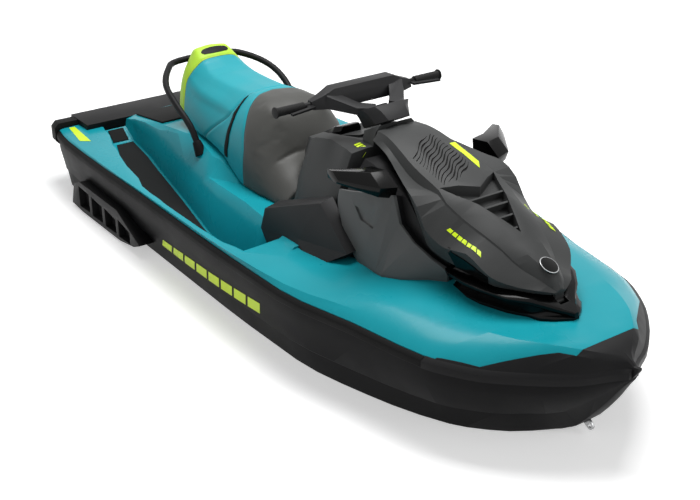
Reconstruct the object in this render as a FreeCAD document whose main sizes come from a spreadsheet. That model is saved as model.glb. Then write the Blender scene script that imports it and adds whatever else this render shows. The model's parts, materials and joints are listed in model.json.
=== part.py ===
"""Personal watercraft: a two-seat jet-driven boat, modelled in millimetres.

Frame: +X to the bow, +Y to port, +Z up. The origin is amidships, on the waterline.
"""

import FreeCAD, Part
import Sketcher
import math
import os

V = FreeCAD.Vector
doc = FreeCAD.newDocument("Watercraft")

# Driving dimensions in millimetres and degrees. Each alias is the size's name.
SIZES = {
    "hull_length": 3318,
    "hull_beam": 1255,
    "draft": 205,
    "transom_inset": 114,
    "rail_height": 280,
    "rail_depth": 40,
    "rail_width": 14,
    "rail_proud": 6,
    "well_lining": 12,
    "pad_thickness": 6,
    "pad_margin": 14,
    "bay_front": -190,
    "bay_rear": -720,
    "bay_half_width": 150,
    "bay_floor": -110,
    "engine_length": 470,
    "engine_width": 270,
    "engine_height": 400,
    "bin_front": 1010,
    "bin_rear": 560,
    "bin_half_width": 150,
    "bin_floor": 230,
    "pump_height": -92,
    "pump_radius": 84,
    "pump_bore": 76,
    "pump_length": 170,
    "tunnel_half_width": 128,
    "tunnel_roof": 22,
    "hub_radius": 26,
    "shaft_radius": 9,
    "shaft_clearance": 0.05,
    "impeller_length": 60,
    "impeller_blades": 4,
    "stator_vanes": 7,
    "blade_thickness": 5,
    "blade_gap": 5,
    "nozzle_length": 62,
    "nozzle_exit": 44,
    "nozzle_wall": 5,
    "pivot_overhang": 23,
    "pin_radius": 6,
    "bucket_inner": 82,
    "bucket_wall": 6,
    "bucket_half_width": 84,
    "plate_thickness": 8,
    "seat_top": 672,
    "seat_gap": 6,
    "panel_gap": 6,
    "panel_wall": 14,
    "seating": 0.3,
    "hinge_radius": 4,
    "bar_span": 786,
    "bar_radius": 11,
    "bar_offset": 138,
    "bar_height": 847,
    "grip_radius": 17,
    "grip_length": 128,
    "steer_rake": 27,
    "stem_radius": 22,
    "stem_length": 170,
    "platform_thickness": 8,
    "handle_radius": 15,
    "step_radius": 9,
    "step_width": 240,
    "step_height": 190,
    "eye_radius": 8,
    "eye_thickness": 9,
}

sheet = doc.addObject("Spreadsheet::Sheet", "Sizes")
for row, (alias, value) in enumerate(SIZES.items(), 1):
    sheet.set(f"A{row}", alias)
    sheet.set(f"B{row}", str(value))
    sheet.setAlias(f"B{row}", alias)
doc.recompute()


def size(alias):
    """A driving dimension as a plain number."""
    return float(sheet.get(alias))


nodes = []


def keep(obj, label):
    """Names a finished sub-part, which is written to its own file."""
    obj.Label = label
    nodes.append(obj)
    return obj


def feature(label, shape):
    """A sub-part whose form comes from Part's own functions."""
    obj = doc.addObject("Part::Feature", label.title().replace("_", ""))
    obj.Shape = shape
    obj.Placement = FreeCAD.Placement()
    return keep(obj, label)


def bind(obj, **cells):
    """Ties each property to an expression of the sheet's cells."""
    for prop, text in cells.items():
        obj.setExpression(prop.replace("__", "."), text)
    return obj


def plane(body, role):
    """One of a body's own origin planes."""
    return next(item for item in body.Origin.OriginFeatures if item.Role == role)


def outline(body, name, role, points):
    """A closed sketch on an origin plane. Each corner is two expressions, and both are its constraints."""
    sketch = body.newObject("Sketcher::SketchObject", name)
    sketch.AttachmentSupport = [(plane(body, role), "")]
    sketch.MapMode = "FlatFace"
    corners = [
        tuple(float(FreeCAD.Units.Quantity(sheet.evalExpression(text))) for text in point)
        for point in points
    ]
    for k, corner in enumerate(corners):
        after = corners[(k + 1) % len(corners)]
        sketch.addGeometry(Part.LineSegment(V(*corner, 0), V(*after, 0)))
    for k in range(len(corners)):
        sketch.addConstraint(Sketcher.Constraint("Coincident", k, 2, (k + 1) % len(corners), 1))
    for k, (corner, point) in enumerate(zip(corners, points)):
        for kind, value, text in zip(("DistanceX", "DistanceY"), corner, point):
            index = sketch.addConstraint(Sketcher.Constraint(kind, -1, 1, k, 1, value))
            sketch.setExpression(f"Constraints[{index}]", text)
    return sketch


def spun(body, name, sketch, kind="PartDesign::Revolution"):
    """A full turn of a sketch about its horizontal axis."""
    turned = body.newObject(kind, name)
    turned.Profile = sketch
    turned.ReferenceAxis = (sketch, ["H_Axis"])
    turned.Angle = 360
    doc.recompute()
    return turned


def pad_both(body, name, sketch, width):
    """A pad of a sketch, half its width to each side."""
    made = body.newObject("PartDesign::Pad", name)
    made.Profile = sketch
    made.setExpression("Length", width)
    made.SideType = "Symmetric"
    doc.recompute()
    return made


def around(body, name, sketch, original, count):
    """A feature repeated evenly about the sketch's horizontal axis."""
    made = body.newObject("PartDesign::PolarPattern", name)
    made.Originals = [original]
    made.Axis = (sketch, ["H_Axis"])
    made.Angle = 360
    made.setExpression("Occurrences", count)
    body.Tip = made
    doc.recompute()
    return made


def reflected(body, name, originals, role):
    """Features repeated across an origin plane of the body."""
    made = body.newObject("PartDesign::Mirrored", name)
    made.Originals = originals
    made.MirrorPlane = (plane(body, role), [""])
    body.Tip = made
    doc.recompute()
    return made


def ring(points):
    """A closed polygon."""
    return Part.makePolygon(points + [points[0]])


def mirrored(half, x):
    """A closed section at x from its starboard half, listed from the centre line's bottom to its top."""
    starboard = [V(x, -y, z) for y, z in half]
    port = [V(x, y, z) for y, z in reversed(half) if y > 0]
    return starboard + port


def facets(a, b, c, d):
    """A four-sided patch as one flat face, or as two triangles where it is twisted."""
    corners = [p for k, p in enumerate((a, b, c, d)) if (p - (a, b, c, d)[k - 1]).Length > 0.01]
    if len(corners) < 3:
        return []
    if len(corners) == 3:
        return [Part.Face(ring(corners))]
    normal = (b - a).cross(c - a)
    if normal.Length > 1e-6 and abs((d - a).dot(normal.normalize())) < 1e-7:
        return [Part.Face(ring([a, b, c, d]))]
    return [Part.Face(ring([a, b, c])), Part.Face(ring([a, c, d]))]


def cap(points):
    """An end's faces: one if it is flat, or else triangles that meet at its middle."""
    normal = (points[1] - points[0]).cross(points[2] - points[0]).normalize()
    if all(abs((p - points[0]).dot(normal)) < 1e-4 for p in points):
        return [Part.Face(ring(points))]
    middle = sum(points, V(0, 0, 0)) * (1 / len(points))
    return [Part.Face(ring([points[k - 1], points[k], middle])) for k in range(len(points))]


def skin(rings):
    """A closed solid through rings of equally many points."""
    faces = cap(rings[0]) + cap(rings[-1])
    for near, far in zip(rings, rings[1:]):
        for k in range(len(near)):
            faces += facets(near[k - 1], near[k], far[k], far[k - 1])
    solid = Part.makeSolid(Part.makeShell(faces))
    if solid.Volume < 0:
        solid.reverse()
    return solid


def fair(rows, x):
    """The row at x of a table of rows that start with x. Each column runs smoothly, without overshoot."""
    if x <= rows[0][0]:
        return rows[0]
    if x >= rows[-1][0]:
        return rows[-1]
    k = next(i for i in range(len(rows) - 1) if x <= rows[i + 1][0])
    span = rows[k + 1][0] - rows[k][0]
    share = (x - rows[k][0]) / span

    def slope(i, col):
        if i in (0, len(rows) - 1):
            j = min(i, len(rows) - 2)
            return (rows[j + 1][col] - rows[j][col]) / (rows[j + 1][0] - rows[j][0])
        before = (rows[i][col] - rows[i - 1][col]) / (rows[i][0] - rows[i - 1][0])
        after = (rows[i + 1][col] - rows[i][col]) / (rows[i + 1][0] - rows[i][0])
        return 0 if before * after <= 0 else 2 * before * after / (before + after)

    values = [x]
    for col in range(1, len(rows[0])):
        a, b = rows[k][col], rows[k + 1][col]
        ma, mb = slope(k, col) * span, slope(k + 1, col) * span
        cube = share**3
        square = share**2
        values.append(
            (2 * cube - 3 * square + 1) * a
            + (cube - 2 * square + share) * ma
            + (3 * square - 2 * cube) * b
            + (cube - square) * mb
        )
    return values


def spread(rows, spans):
    """The table with smooth rows put in between, each interval cut into spans."""
    full = []
    for near, far in zip(rows, rows[1:]):
        full += [fair(rows, near[0] + (far[0] - near[0]) * k / spans) for k in range(spans)]
    return full + [rows[-1]]


def rounded(points, spans):
    """A smooth run of (y, z) points through a few."""
    run = []
    for k in range(len(points) - 1):
        a, b = points[max(k - 1, 0)], points[k]
        c, d = points[k + 1], points[min(k + 2, len(points) - 1)]
        for i in range(spans):
            t = i / spans
            run.append(
                tuple(
                    0.5
                    * (
                        2 * q
                        + (r - p) * t
                        + (2 * p - 5 * q + 4 * r - s) * t**2
                        + (3 * q - p - 3 * r + s) * t**3
                    )
                    for p, q, r, s in zip(a, b, c, d)
                )
            )
    return run + [points[-1]]


def other_side(shape):
    return shape.mirror(V(0, 0, 0), V(0, 1, 0))


def both_sides(shape):
    """The shape and its mirror image across the centre plane, as one compound."""
    return Part.makeCompound([shape, other_side(shape)])


def block(x0, x1, y0, y1, z0, z1):
    return Part.makeBox(x1 - x0, y1 - y0, z1 - z0, V(x0, y0, z0))


def prism(points, depth):
    """A plate of a polygon's outline, extruded by a vector."""
    return Part.Face(ring(points)).extrude(depth)


# Lines of the hull. Stations are shares of the half length, breadths shares of the half beam.
half_length = size("hull_length") / 2
half_beam = size("hull_beam") / 2
stern = -half_length
transom = stern + size("transom_inset")
draft = size("draft")
rail = size("rail_height")
BONDS = [  # station, half breadth and height above or below the rail's height amidships
    (-0.985, 0.890, -32),
    (-0.845, 0.953, -28),
    (-0.600, 0.980, -18),
    (-0.360, 0.991, -7),
    (0.000, 1.000, -2),
    (0.300, 0.985, 0),
    (0.510, 0.868, 0),
    (0.696, 0.770, 0),
    (0.790, 0.641, 0),
    (0.863, 0.475, 5),
    (0.936, 0.244, 10),
    (0.974, 0.061, 20),
    (0.987, 0.026, 26),
]
BOTTOMS = [  # station, half breadth and height of the chine, height of the keel line; heights above the keel
    (-0.985, 0.845, 200, 0),
    (-0.845, 0.855, 200, 0),
    (-0.600, 0.866, 200, 0),
    (-0.360, 0.872, 200, 0),
    (0.000, 0.878, 202, 0),
    (0.300, 0.860, 204, 0),
    (0.510, 0.745, 206, 12),
    (0.696, 0.560, 210, 58),
    (0.790, 0.350, 214, 120),
    (0.863, 0.110, 232, 218),
    (0.936, 0.060, 372, 360),
    (0.974, 0.030, 474, 468),
    (0.987, 0.018, 504, 500),
]
bond_rows = [(f * half_length, b * half_beam, rail + r) for f, b, r in BONDS]
bottom_rows = [(f * half_length, b * half_beam, c - draft, k - draft) for f, b, c, k in BOTTOMS]


def bond(x):
    """Half breadth and height of the bond line at x."""
    return fair(bond_rows, x)[1:]


stations = [row[0] for row in spread(bond_rows, 3)]
hull_stations = [transom] + [x for x in stations if x > transom + 20]


def hull_section(x):
    side = bond(x)
    _, chine, chine_z, keel_z = fair(bottom_rows, x)
    rise = side[1] - chine_z
    flare = side[0] - chine
    half = [
        (0, keel_z),
        (0.42 * chine, keel_z + 0.40 * (chine_z - keel_z)),
        (0.46 * chine, keel_z + 0.40 * (chine_z - keel_z)),
        (0.96 * chine, keel_z + 0.93 * (chine_z - keel_z)),
        (chine, chine_z),
        (chine + 0.30 * flare, chine_z + 0.34 * rise),
        (chine + 0.44 * flare, chine_z + 0.38 * rise),
        (chine + 0.90 * flare, chine_z + 0.80 * rise),
        (side[0], side[1]),
        (0, side[1]),
    ]
    return mirrored(half, x)


hull_solid = skin([hull_section(x) for x in hull_stations])

# The deck's outer form above the bond line: low gunwales aft, a broad wedge under the hood forward.
rail_depth = size("rail_depth")
rail_width = size("rail_width")
seating = size("seating")
# Deck's rows: station, inset and height of the shoulder, then breadth and height of the valley and of the
# ridge, and height at the centre.
DECKS = [
    (-0.985, 26, 44, 440, 46, 300, 46, 46),
    (-0.845, 22, 46, 440, 50, 300, 52, 52),
    (-0.600, 16, 46, 440, 54, 300, 60, 60),
    (-0.334, 12, 48, 440, 58, 300, 60, 62),
    (0.000, 12, 52, 450, 56, 300, 60, 64),
    (0.150, 16, 55, 470, 62, 330, 70, 76),
    (0.300, 30, 58, 470, 72, 330, 84, 92),
    (0.460, 46, 68, 430, 94, 300, 112, 140),
    (0.603, 56, 73, 372, 104, 250, 108, 150),
    (0.700, 62, 76, 316, 108, 200, 104, 140),
    (0.790, 64, 82, 262, 114, 150, 106, 122),
    (0.856, 66, 90, 200, 116, 110, 104, 114),
    (0.911, 60, 94, 124, 108, 70, 108, 108),
    (0.936, 46, 84, 76, 96, 44, 98, 100),
    (0.974, 20, 54, 12, 62, 8, 64, 66),
    (0.987, 7, 42, 8, 44, 5, 45, 46),
]
deck_rows = [(f * half_length, *rest) for f, *rest in DECKS]
deck_stations = [stern + 20] + [x for x in stations if x > stern + 20]


def deck_section(x):
    breadth, foot = bond(x)
    edge = max(breadth - rail_width, 0.5 * breadth)
    _, inset, rise, valley, valley_rise, inner, inner_rise, centre_rise = fair(deck_rows, x)
    half = [
        (0, foot + seating),
        (edge, foot + seating),
        (edge, foot + rail_depth),
        (breadth - inset, foot + rise),
        (min(valley, 0.95 * (breadth - inset)), foot + valley_rise),
        (max(min(inner, valley - 30), 0.4 * valley), foot + inner_rise),
        (0, foot + centre_rise),
    ]
    return mirrored(half, x)


tip = half_length
nose_line = [(0, 60), (5, 60), (8, 64), (8, 70), (6, 73), (3, 74), (0, 74)]
nose = [(y, rail + z) for y, z in nose_line]
deck_solid = skin([deck_section(x) for x in deck_stations] + [mirrored(nose, tip)])

# Footwells: each is a hollow beside the seat's pedestal, open upwards, which rises aft to the rear platform.
# Footwells' rows: x, floor's height, its inner and outer breadth, crease's breadth and height, top's inner
# and outer breadth.
WELLS = [
    (-1490, 308, 262, 372, 250, 380, 225, 452),
    (-1385, 222, 250, 362, 246, 300, 205, 470),
    (-1184, 206, 268, 430, 262, 300, 205, 496),
    (-1032, 190, 291, 470, 282, 300, 208, 520),
    (-730, 156, 330, 505, 312, 300, 214, 592),
    (-554, 142, 360, 512, 334, 300, 220, 646),
    (-399, 130, 386, 518, 350, 290, 226, 646),
    (-100, 130, 398, 518, 372, 270, 262, 646),
    (60, 130, 402, 510, 384, 270, 320, 640),
    (180, 130, 404, 496, 390, 270, 330, 610),
]
well_top = 470
lining = size("well_lining")


def well_section(x, floor, floor_in, floor_out, crease, crease_z, top_in, top_out, wall):
    return [
        V(x, -(floor_in - wall), floor - wall),
        V(x, -(floor_out + wall), floor - wall),
        V(x, -(top_out + wall), well_top),
        V(x, -(top_in - wall), well_top),
        V(x, -(crease - wall), max(crease_z, floor + 20)),
    ]


well_rows = spread(WELLS, 1)
well_hollow = skin([well_section(*row, 0) for row in well_rows])
tub_rows = [(WELLS[0][0] - lining, *WELLS[0][1:])] + WELLS[1:-1] + [(WELLS[-1][0] + lining, *WELLS[-1][1:])]
well_tub = skin([well_section(*row, lining) for row in tub_rows])
tub_below = well_tub.common(block(-2000, 600, -half_beam, 0, -100, rail + 6))

# The riser that carries the seat between the footwells.
RISERS = [  # x, half breadth and height of its top
    (-1520, 205, 314),
    (-1180, 222, 372),
    (-815, 240, 429),
    (-690, 282, 424),
    (-620, 278, 414),
    (-523, 246, 398),
    (-361, 242, 323),
    (-224, 248, 316),
    (-100, 300, 326),
    (60, 372, 340),
    (300, 410, 356),
]
riser_rows = spread(RISERS, 1)
riser = skin([mirrored([(0, 288), (y + 110, 288), (y, z), (0, z + 4)], x) for x, y, z in riser_rows])
hull_body = hull_solid.cut([well_tub, other_side(well_tub)])
deck_body = deck_solid.fuse([riser, tub_below, other_side(tub_below)])
deck_body = deck_body.cut([well_hollow, other_side(well_hollow)])

# The engine bay runs through the riser's top into the hull. The storage bin lies under the hood.
bay = block(
    size("bay_rear"),
    size("bay_front"),
    -size("bay_half_width"),
    size("bay_half_width"),
    size("bay_floor"),
    600,
)
bin_box = block(
    size("bin_rear"),
    size("bin_front"),
    -size("bin_half_width"),
    size("bin_half_width"),
    size("bin_floor"),
    720,
)
deck_body = deck_body.cut([bay, bin_box])

# The jet pump's tunnel at the transom, and its intake duct from the bottom.
pump_length = size("pump_length")
tunnel_front = transom + pump_length
tunnel_half = size("tunnel_half_width")
pump_z = size("pump_height")
bore_r = size("pump_bore")
mouth_front = tunnel_front + 555
mouth_rear = tunnel_front + 195
mouth_half = 72
tunnel = block(transom - 400, tunnel_front, -tunnel_half, tunnel_half, -draft - 10, size("tunnel_roof"))
duct = Part.makeCylinder(bore_r, 260, V(tunnel_front, 0, pump_z), V(1, 0, 0))
mouth = prism(
    [
        V(mouth_rear, -mouth_half, -draft - 20),
        V(mouth_front, -mouth_half, -draft - 20),
        V(mouth_rear + 60, -mouth_half, pump_z + 60),
        V(mouth_rear, -mouth_half, pump_z + 60),
    ],
    V(0, 2 * mouth_half, 0),
)
hull_body = hull_body.cut([bay, bin_box, tunnel, duct, mouth])
feature("hull", hull_body)

# Rubber rail along the bond line, from the stern corners to the bow cap.
rail_proud = size("rail_proud")
rail_front = 0.7 * half_length
rail_rear = stern + 98


def rail_section(x):
    y, z = bond(x)
    return [
        V(x, -(y - rail_width + seating), z + seating),
        V(x, -(y + rail_proud), z + seating),
        V(x, -(y + rail_proud), z + 0.66 * rail_depth),
        V(x, -(y - rail_width + seating), z + rail_depth),
    ]


rail_stations = [rail_rear] + [x for x in stations if rail_rear + 20 < x < rail_front - 20] + [rail_front]
rail_solid = skin([rail_section(x) for x in rail_stations]).cut([deck_solid, hull_solid])
feature("bumper_rail", both_sides(rail_solid))

# Bow cap: the black nose that wraps the deck's front edge, from a line across the deck to the bow's tip.
CAP_LINE = [(-479, -700), (-479, -480), (-462, -448), (-337, -375), (-182, -178), (-141, -143)]


def cap_region(grow):
    """All that lies forward of the cap's line."""
    starboard = [V(half_length + x - grow, y, 0) for x, y in CAP_LINE]
    port = [V(half_length + x - grow, -y, 0) for x, y in reversed(CAP_LINE)]
    return prism(starboard + port + [V(tip + 100, 700, 0), V(tip + 100, -700, 0)], V(0, 0, 600))


feature("deck", deck_body.cut(cap_region(seating)))
cap_stations = [rail_front + seating] + [x for x in stations if x > rail_front + 20]
cap_rail = skin([rail_section(x) for x in cap_stations]).cut([deck_solid, hull_solid])
cap_body = deck_solid.common(cap_region(0)).fuse([cap_rail, other_side(cap_rail)])
feature("bow_cap", cap_body)

# Stern corner bumpers, and the rear platform between the footwells' ramps.
CORNERS = [  # x from the stern, inner breadth, outer breadth, low and high
    (8, 478, 548, 232, 300),
    (26, 462, 572, 216, 318),
    (99, 462, 584, 222, 324),
]
corner_rings = []
for x, inner, outer, low, high in CORNERS:
    foot = [(inner, low), (outer - 14, low), (outer, low + 16)]
    points = foot + [(outer, high - 22), (outer - 22, high), (inner, high)]
    corner_rings.append([V(stern + x, -y, z) for y, z in points])
corner = skin(corner_rings).cut([hull_solid, deck_solid, rail_solid])
feature("stern_bumper", both_sides(corner))
platform_t = size("platform_thickness")
platform_rear = stern + 12
platform_front = stern + 205
platform_z = rail + 37
platform = block(platform_rear, platform_front, -458, 458, platform_z - 60, platform_z + platform_t)
feature("rear_platform", platform.cut([deck_body, hull_body, corner, other_side(corner)]))
pad_front = fair(RISERS, -1128)
pad_back = [(-1440, *fair(RISERS, -1440)[1:])] + [r for r in riser_rows if -1440 < r[0] < -1128] + [pad_front]
rear_pad = skin(
    [mirrored([(0, z - 30), (y - 6, z - 30), (y - 6, z + 9), (0, z + 12)], x) for x, y, z in pad_back]
)
feature("rear_pad", rear_pad.cut(deck_body))

# Engine: one block on the bay's floor.
engine = doc.addObject("Part::Box", "Engine")
bind(
    engine,
    Length="Sizes.engine_length",
    Width="Sizes.engine_width",
    Height="Sizes.engine_height",
    Placement__Base__x="(Sizes.bay_front + Sizes.bay_rear - Sizes.engine_length) / 2",
    Placement__Base__y="-Sizes.engine_width / 2",
    Placement__Base__z="Sizes.bay_floor",
)
keep(engine, "engine_block")

# Pump housing: a flanged tube behind the tunnel's front wall. Seven vanes carry the hub the shaft runs in.
# Ears aft carry the nozzle above and below, and the bucket at the sides.
pump_r = size("pump_radius")
hub_r = size("hub_radius")
shaft_r = size("shaft_radius")
running = size("shaft_clearance")
pin_r = size("pin_radius")
exit_r = size("nozzle_exit")
wall = size("nozzle_wall")
boss_r = pin_r + 3
inlet_r = exit_r + 12
pump_rear = tunnel_front - pump_length
pivot_x = pump_rear - size("pivot_overhang")
PUMP_X = "Sizes.transom_inset - Sizes.hull_length / 2 + Sizes.pump_length"
REAR = "-Sizes.pump_length"
PIVOT = "-Sizes.pump_length - Sizes.pivot_overhang"
EAR_LOW = "Sizes.nozzle_exit + 15"
EAR_HIGH = "Sizes.nozzle_exit + 27"
SIDE_IN = "Sizes.pump_bore - 10"
SIDE_OUT = "Sizes.pump_bore - 4"
pump = doc.addObject("PartDesign::Body", "PumpHousing")
bind(pump, Placement__Base__x=PUMP_X, Placement__Base__z="Sizes.pump_height")
tube_line = outline(pump, "TubeLine", "XZ_Plane", [
    ("0", "Sizes.pump_bore"), ("0", "Sizes.pump_radius + 18"), ("-12", "Sizes.pump_radius + 18"),
    ("-12", "Sizes.pump_radius"), (REAR, "Sizes.pump_radius"), (REAR, "Sizes.pump_bore"),
])
spun(pump, "Tube", tube_line)
vane_line = outline(pump, "VaneLine", "XZ_Plane", [
    ("-Sizes.impeller_length - 40", "12"), ("-Sizes.impeller_length - 40", "Sizes.pump_bore + 3"),
    ("16 - Sizes.pump_length", "Sizes.pump_bore + 3"), ("16 - Sizes.pump_length", "12"),
])
vane = pad_both(pump, "Vane", vane_line, "Sizes.blade_thickness + 1")
around(pump, "Vanes", vane_line, vane, "Sizes.stator_vanes")
hub_line = outline(pump, "HubLine", "XZ_Plane", [
    ("-Sizes.impeller_length - 40", "Sizes.shaft_radius + Sizes.shaft_clearance"),
    ("-Sizes.impeller_length - 40", "Sizes.hub_radius"),
    ("16 - Sizes.pump_length", "14"),
    ("16 - Sizes.pump_length", "Sizes.shaft_radius + Sizes.shaft_clearance"),
])
spun(pump, "Hub", hub_line)
ear_line = outline(pump, "EarLine", "XZ_Plane", [
    (PIVOT + " - 14", EAR_LOW), (REAR + " + 14", EAR_LOW), (REAR + " + 14", "Sizes.pump_radius - 2"),
    (REAR, "Sizes.pump_radius - 2"), (REAR, EAR_HIGH), (PIVOT + " - 14", EAR_HIGH),
])
ear = pad_both(pump, "Ear", ear_line, "24")
reflected(pump, "Ears", [ear], "XY_Plane")
side_line = outline(pump, "SideEarLine", "XY_Plane", [
    (PIVOT + " - 12", SIDE_IN), (REAR + " + 14", SIDE_IN), (REAR + " + 14", "Sizes.pump_radius - 2"),
    (REAR, "Sizes.pump_radius - 2"), (REAR, SIDE_OUT), (PIVOT + " - 12", SIDE_OUT),
])
side_ear = pad_both(pump, "SideEar", side_line, "24")
reflected(pump, "SideEars", [side_ear], "XZ_Plane")
pin = pump.newObject("PartDesign::AdditiveCylinder", "BucketPin")
bind(pin, Radius="Sizes.pin_radius", Height="2 * Sizes.pump_bore + 20")
pin.Placement = FreeCAD.Placement(V(pivot_x - tunnel_front, bore_r + 10, 0), FreeCAD.Rotation(V(1, 0, 0), 90))
doc.recompute()
gap_line = outline(pump, "PinGap", "XZ_Plane", [
    (PIVOT + " - 20", "-20"), (PIVOT + " - 20", "20"), (REAR + " - 0.5", "20"), (REAR + " - 0.5", "-20"),
])
pin_gap = pump.newObject("PartDesign::Pocket", "BetweenPins")
pin_gap.Profile = gap_line
pin_gap.SideType = "Symmetric"
pin_gap.setExpression("Length", "2 * Sizes.pump_bore - 20")
doc.recompute()
pivot_sketch = pump.newObject("Sketcher::SketchObject", "PivotHole")
pivot_sketch.AttachmentSupport = [(plane(pump, "XY_Plane"), "")]
pivot_sketch.MapMode = "FlatFace"
pivot_sketch.addGeometry(Part.Circle(V(pivot_x - tunnel_front, 0, 0), V(0, 0, 1), boss_r + running))
pivot_sketch.addConstraint(Sketcher.Constraint("PointOnObject", 0, 3, -1))
centre = pivot_sketch.addConstraint(Sketcher.Constraint("DistanceX", -1, 1, 0, 3, pivot_x - tunnel_front))
pivot_sketch.setExpression(f"Constraints[{centre}]", PIVOT)
radius = pivot_sketch.addConstraint(Sketcher.Constraint("Radius", 0, boss_r + running))
pivot_sketch.setExpression(f"Constraints[{radius}]", "Sizes.pin_radius + 3 + Sizes.shaft_clearance")
pivots = pump.newObject("PartDesign::Pocket", "PivotHoles")
pivots.Profile = pivot_sketch
pivots.SideType = "Symmetric"
pivots.setExpression("Length", "2 * Sizes.pump_radius")
doc.recompute()
keep(pump, "pump_housing")

# Impeller: a hub with a spinner, pitched blades trimmed to a round tip, and its shaft in the stator.
spinner = doc.addObject("PartDesign::Body", "Impeller")
bind(spinner, Placement__Base__x=PUMP_X + " - 25", Placement__Base__z="Sizes.pump_height")
hub_profile = outline(spinner, "HubProfile", "XZ_Plane", [
    ("20", "0"), ("14", "0.5 * Sizes.hub_radius"), ("0", "Sizes.hub_radius"),
    ("-Sizes.impeller_length", "Sizes.hub_radius"), ("-Sizes.impeller_length", "Sizes.shaft_radius"),
    ("-Sizes.impeller_length - 53", "Sizes.shaft_radius"), ("-Sizes.impeller_length - 53", "0"),
])
spun(spinner, "HubAndShaft", hub_profile)
blade = spinner.newObject("PartDesign::AdditiveBox", "Blade")
bind(blade, Length="Sizes.impeller_length", Width="Sizes.blade_thickness", Height="Sizes.pump_bore - 18")
pitch = FreeCAD.Rotation(V(0, 0, 1), 38)
half_blade = V(size("impeller_length") / 2, size("blade_thickness") / 2, 0)
blade.Placement = FreeCAD.Placement(V(-size("impeller_length") / 2, 0, 18) - pitch.multVec(half_blade), pitch)
doc.recompute()
around(spinner, "Blades", hub_profile, blade, "Sizes.impeller_blades")
tip_line = outline(spinner, "TipTrim", "XZ_Plane", [
    ("10", "Sizes.pump_bore - Sizes.blade_gap"), ("10", "Sizes.pump_bore + 20"),
    ("-Sizes.impeller_length - 10", "Sizes.pump_bore + 20"),
    ("-Sizes.impeller_length - 10", "Sizes.pump_bore - Sizes.blade_gap"),
])
spun(spinner, "RoundTips", tip_line, "PartDesign::Groove")
keep(spinner, "impeller")

# Steering nozzle: a tapered tube of flat sides that turns on round bosses behind the pump.
nozzle_length = size("nozzle_length")
SIDES = 24


def round_ring(x, radius):
    """A ring of flat sides about the pump's axis."""
    turns = [2 * math.pi * k / SIDES for k in range(SIDES)]
    return [V(x, radius * math.cos(a), pump_z + radius * math.sin(a)) for a in turns]


nozzle_front = pivot_x + 8
nozzle = skin([round_ring(nozzle_front, inlet_r), round_ring(nozzle_front - nozzle_length, exit_r)])
nozzle = nozzle.cut(
    skin(
        [
            round_ring(nozzle_front + 1, inlet_r - wall),
            round_ring(nozzle_front - nozzle_length - 1, exit_r - wall),
        ]
    )
)
bosses = []
for turn in (0, 180):
    boss = Part.makeCylinder(boss_r, 22, V(pivot_x, 0, pump_z + inlet_r - 8), V(0, 0, 1))
    boss.rotate(V(pivot_x, 0, pump_z), V(1, 0, 0), turn)
    bosses.append(boss)
feature("steering_nozzle", nozzle.fuse(bosses))

# Reverse bucket: a curved scoop on two arms.
bucket_in = size("bucket_inner")
bucket_out = bucket_in + size("bucket_wall")
bucket_half = size("bucket_half_width")


def bucket_arc(radius, start, end, steps=8):
    turn = [math.radians(start + (end - start) * k / steps) for k in range(steps + 1)]
    return [V(pivot_x - radius * math.cos(a), -bucket_half, pump_z + radius * math.sin(a)) for a in turn]


scoop = prism(bucket_arc(bucket_out, 8, 84) + bucket_arc(bucket_in, 84, 8), V(0, 2 * bucket_half, 0))
arm = Part.makeCylinder(pin_r + 10, 6, V(pivot_x, -bucket_half, pump_z), V(0, 1, 0))
arm = arm.fuse(
    prism(
        [V(pivot_x + 8, -bucket_half, pump_z)]
        + bucket_arc(bucket_out, 8, 84)
        + [V(pivot_x + 12, -bucket_half, pump_z + 8)],
        V(0, 6, 0),
    )
)
bucket = scoop.fuse([arm, other_side(arm)])
pin_hole = Part.makeCylinder(pin_r + running, 400, V(pivot_x, -200, pump_z), V(0, 1, 0))
feature("reverse_bucket", bucket.cut(pin_hole))

# Ride plate under the pump.
ride = doc.addObject("Part::Box", "RidePlate")
bind(
    ride,
    Length="Sizes.pump_length + 55",
    Width="2 * Sizes.tunnel_half_width - 8",
    Height="Sizes.plate_thickness",
    Placement__Base__x="Sizes.transom_inset - Sizes.hull_length / 2 - 55",
    Placement__Base__y="4 - Sizes.tunnel_half_width",
    Placement__Base__z="-Sizes.draft",
)
keep(ride, "ride_plate")

# Intake grate: bars along the duct's mouth.
grate_front = mouth_front - 52
grate = [
    block(mouth_rear, mouth_rear + 12, -mouth_half, mouth_half, -draft, -draft + 12),
    block(grate_front - 12, grate_front, -mouth_half, mouth_half, -draft, -draft + 12),
]
for k in range(5):
    y = mouth_half * (k - 2) / 3
    grate.append(block(mouth_rear, grate_front, y - 4, y + 4, -draft, -draft + 10))
feature("intake_grate", grate[0].fuse(grate[1:]))

# Sponsons on the hull's sides near the stern: open ribs between a sole and a rear fence.
sponson_rear = stern + 350
sponson_front = stern + 1060
wall_y = bond(sponson_rear)[0]
sponson_in = wall_y - 70
sponson_out = half_beam + 6
outline = [
    (sponson_rear, 18),
    (sponson_rear + 40, 128),
    (sponson_rear + 110, 158),
    (sponson_front - 210, 158),
    (sponson_front, 62),
    (sponson_front - 60, 35),
    (sponson_front - 200, 12),
    (sponson_rear + 110, 8),
]
sponson = prism([V(x, -sponson_in, z) for x, z in outline], V(0, sponson_in - sponson_out, 0))
cells = []
for k in range(4):
    x = sponson_rear + 92 + 138 * k
    cells.append(
        prism(
            [
                V(x, -sponson_out - 10, 30),
                V(x + 112, -sponson_out - 10, 34),
                V(x + 112, -sponson_out - 10, 128 - 12 * k),
                V(x, -sponson_out - 10, 132 - 6 * k),
            ],
            V(0, 44, 0),
        )
    )
sponson = sponson.cut(cells)
feature("sponson_starboard", sponson.cut(hull_solid))
feature("sponson_port", other_side(sponson).cut(hull_solid))

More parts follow.
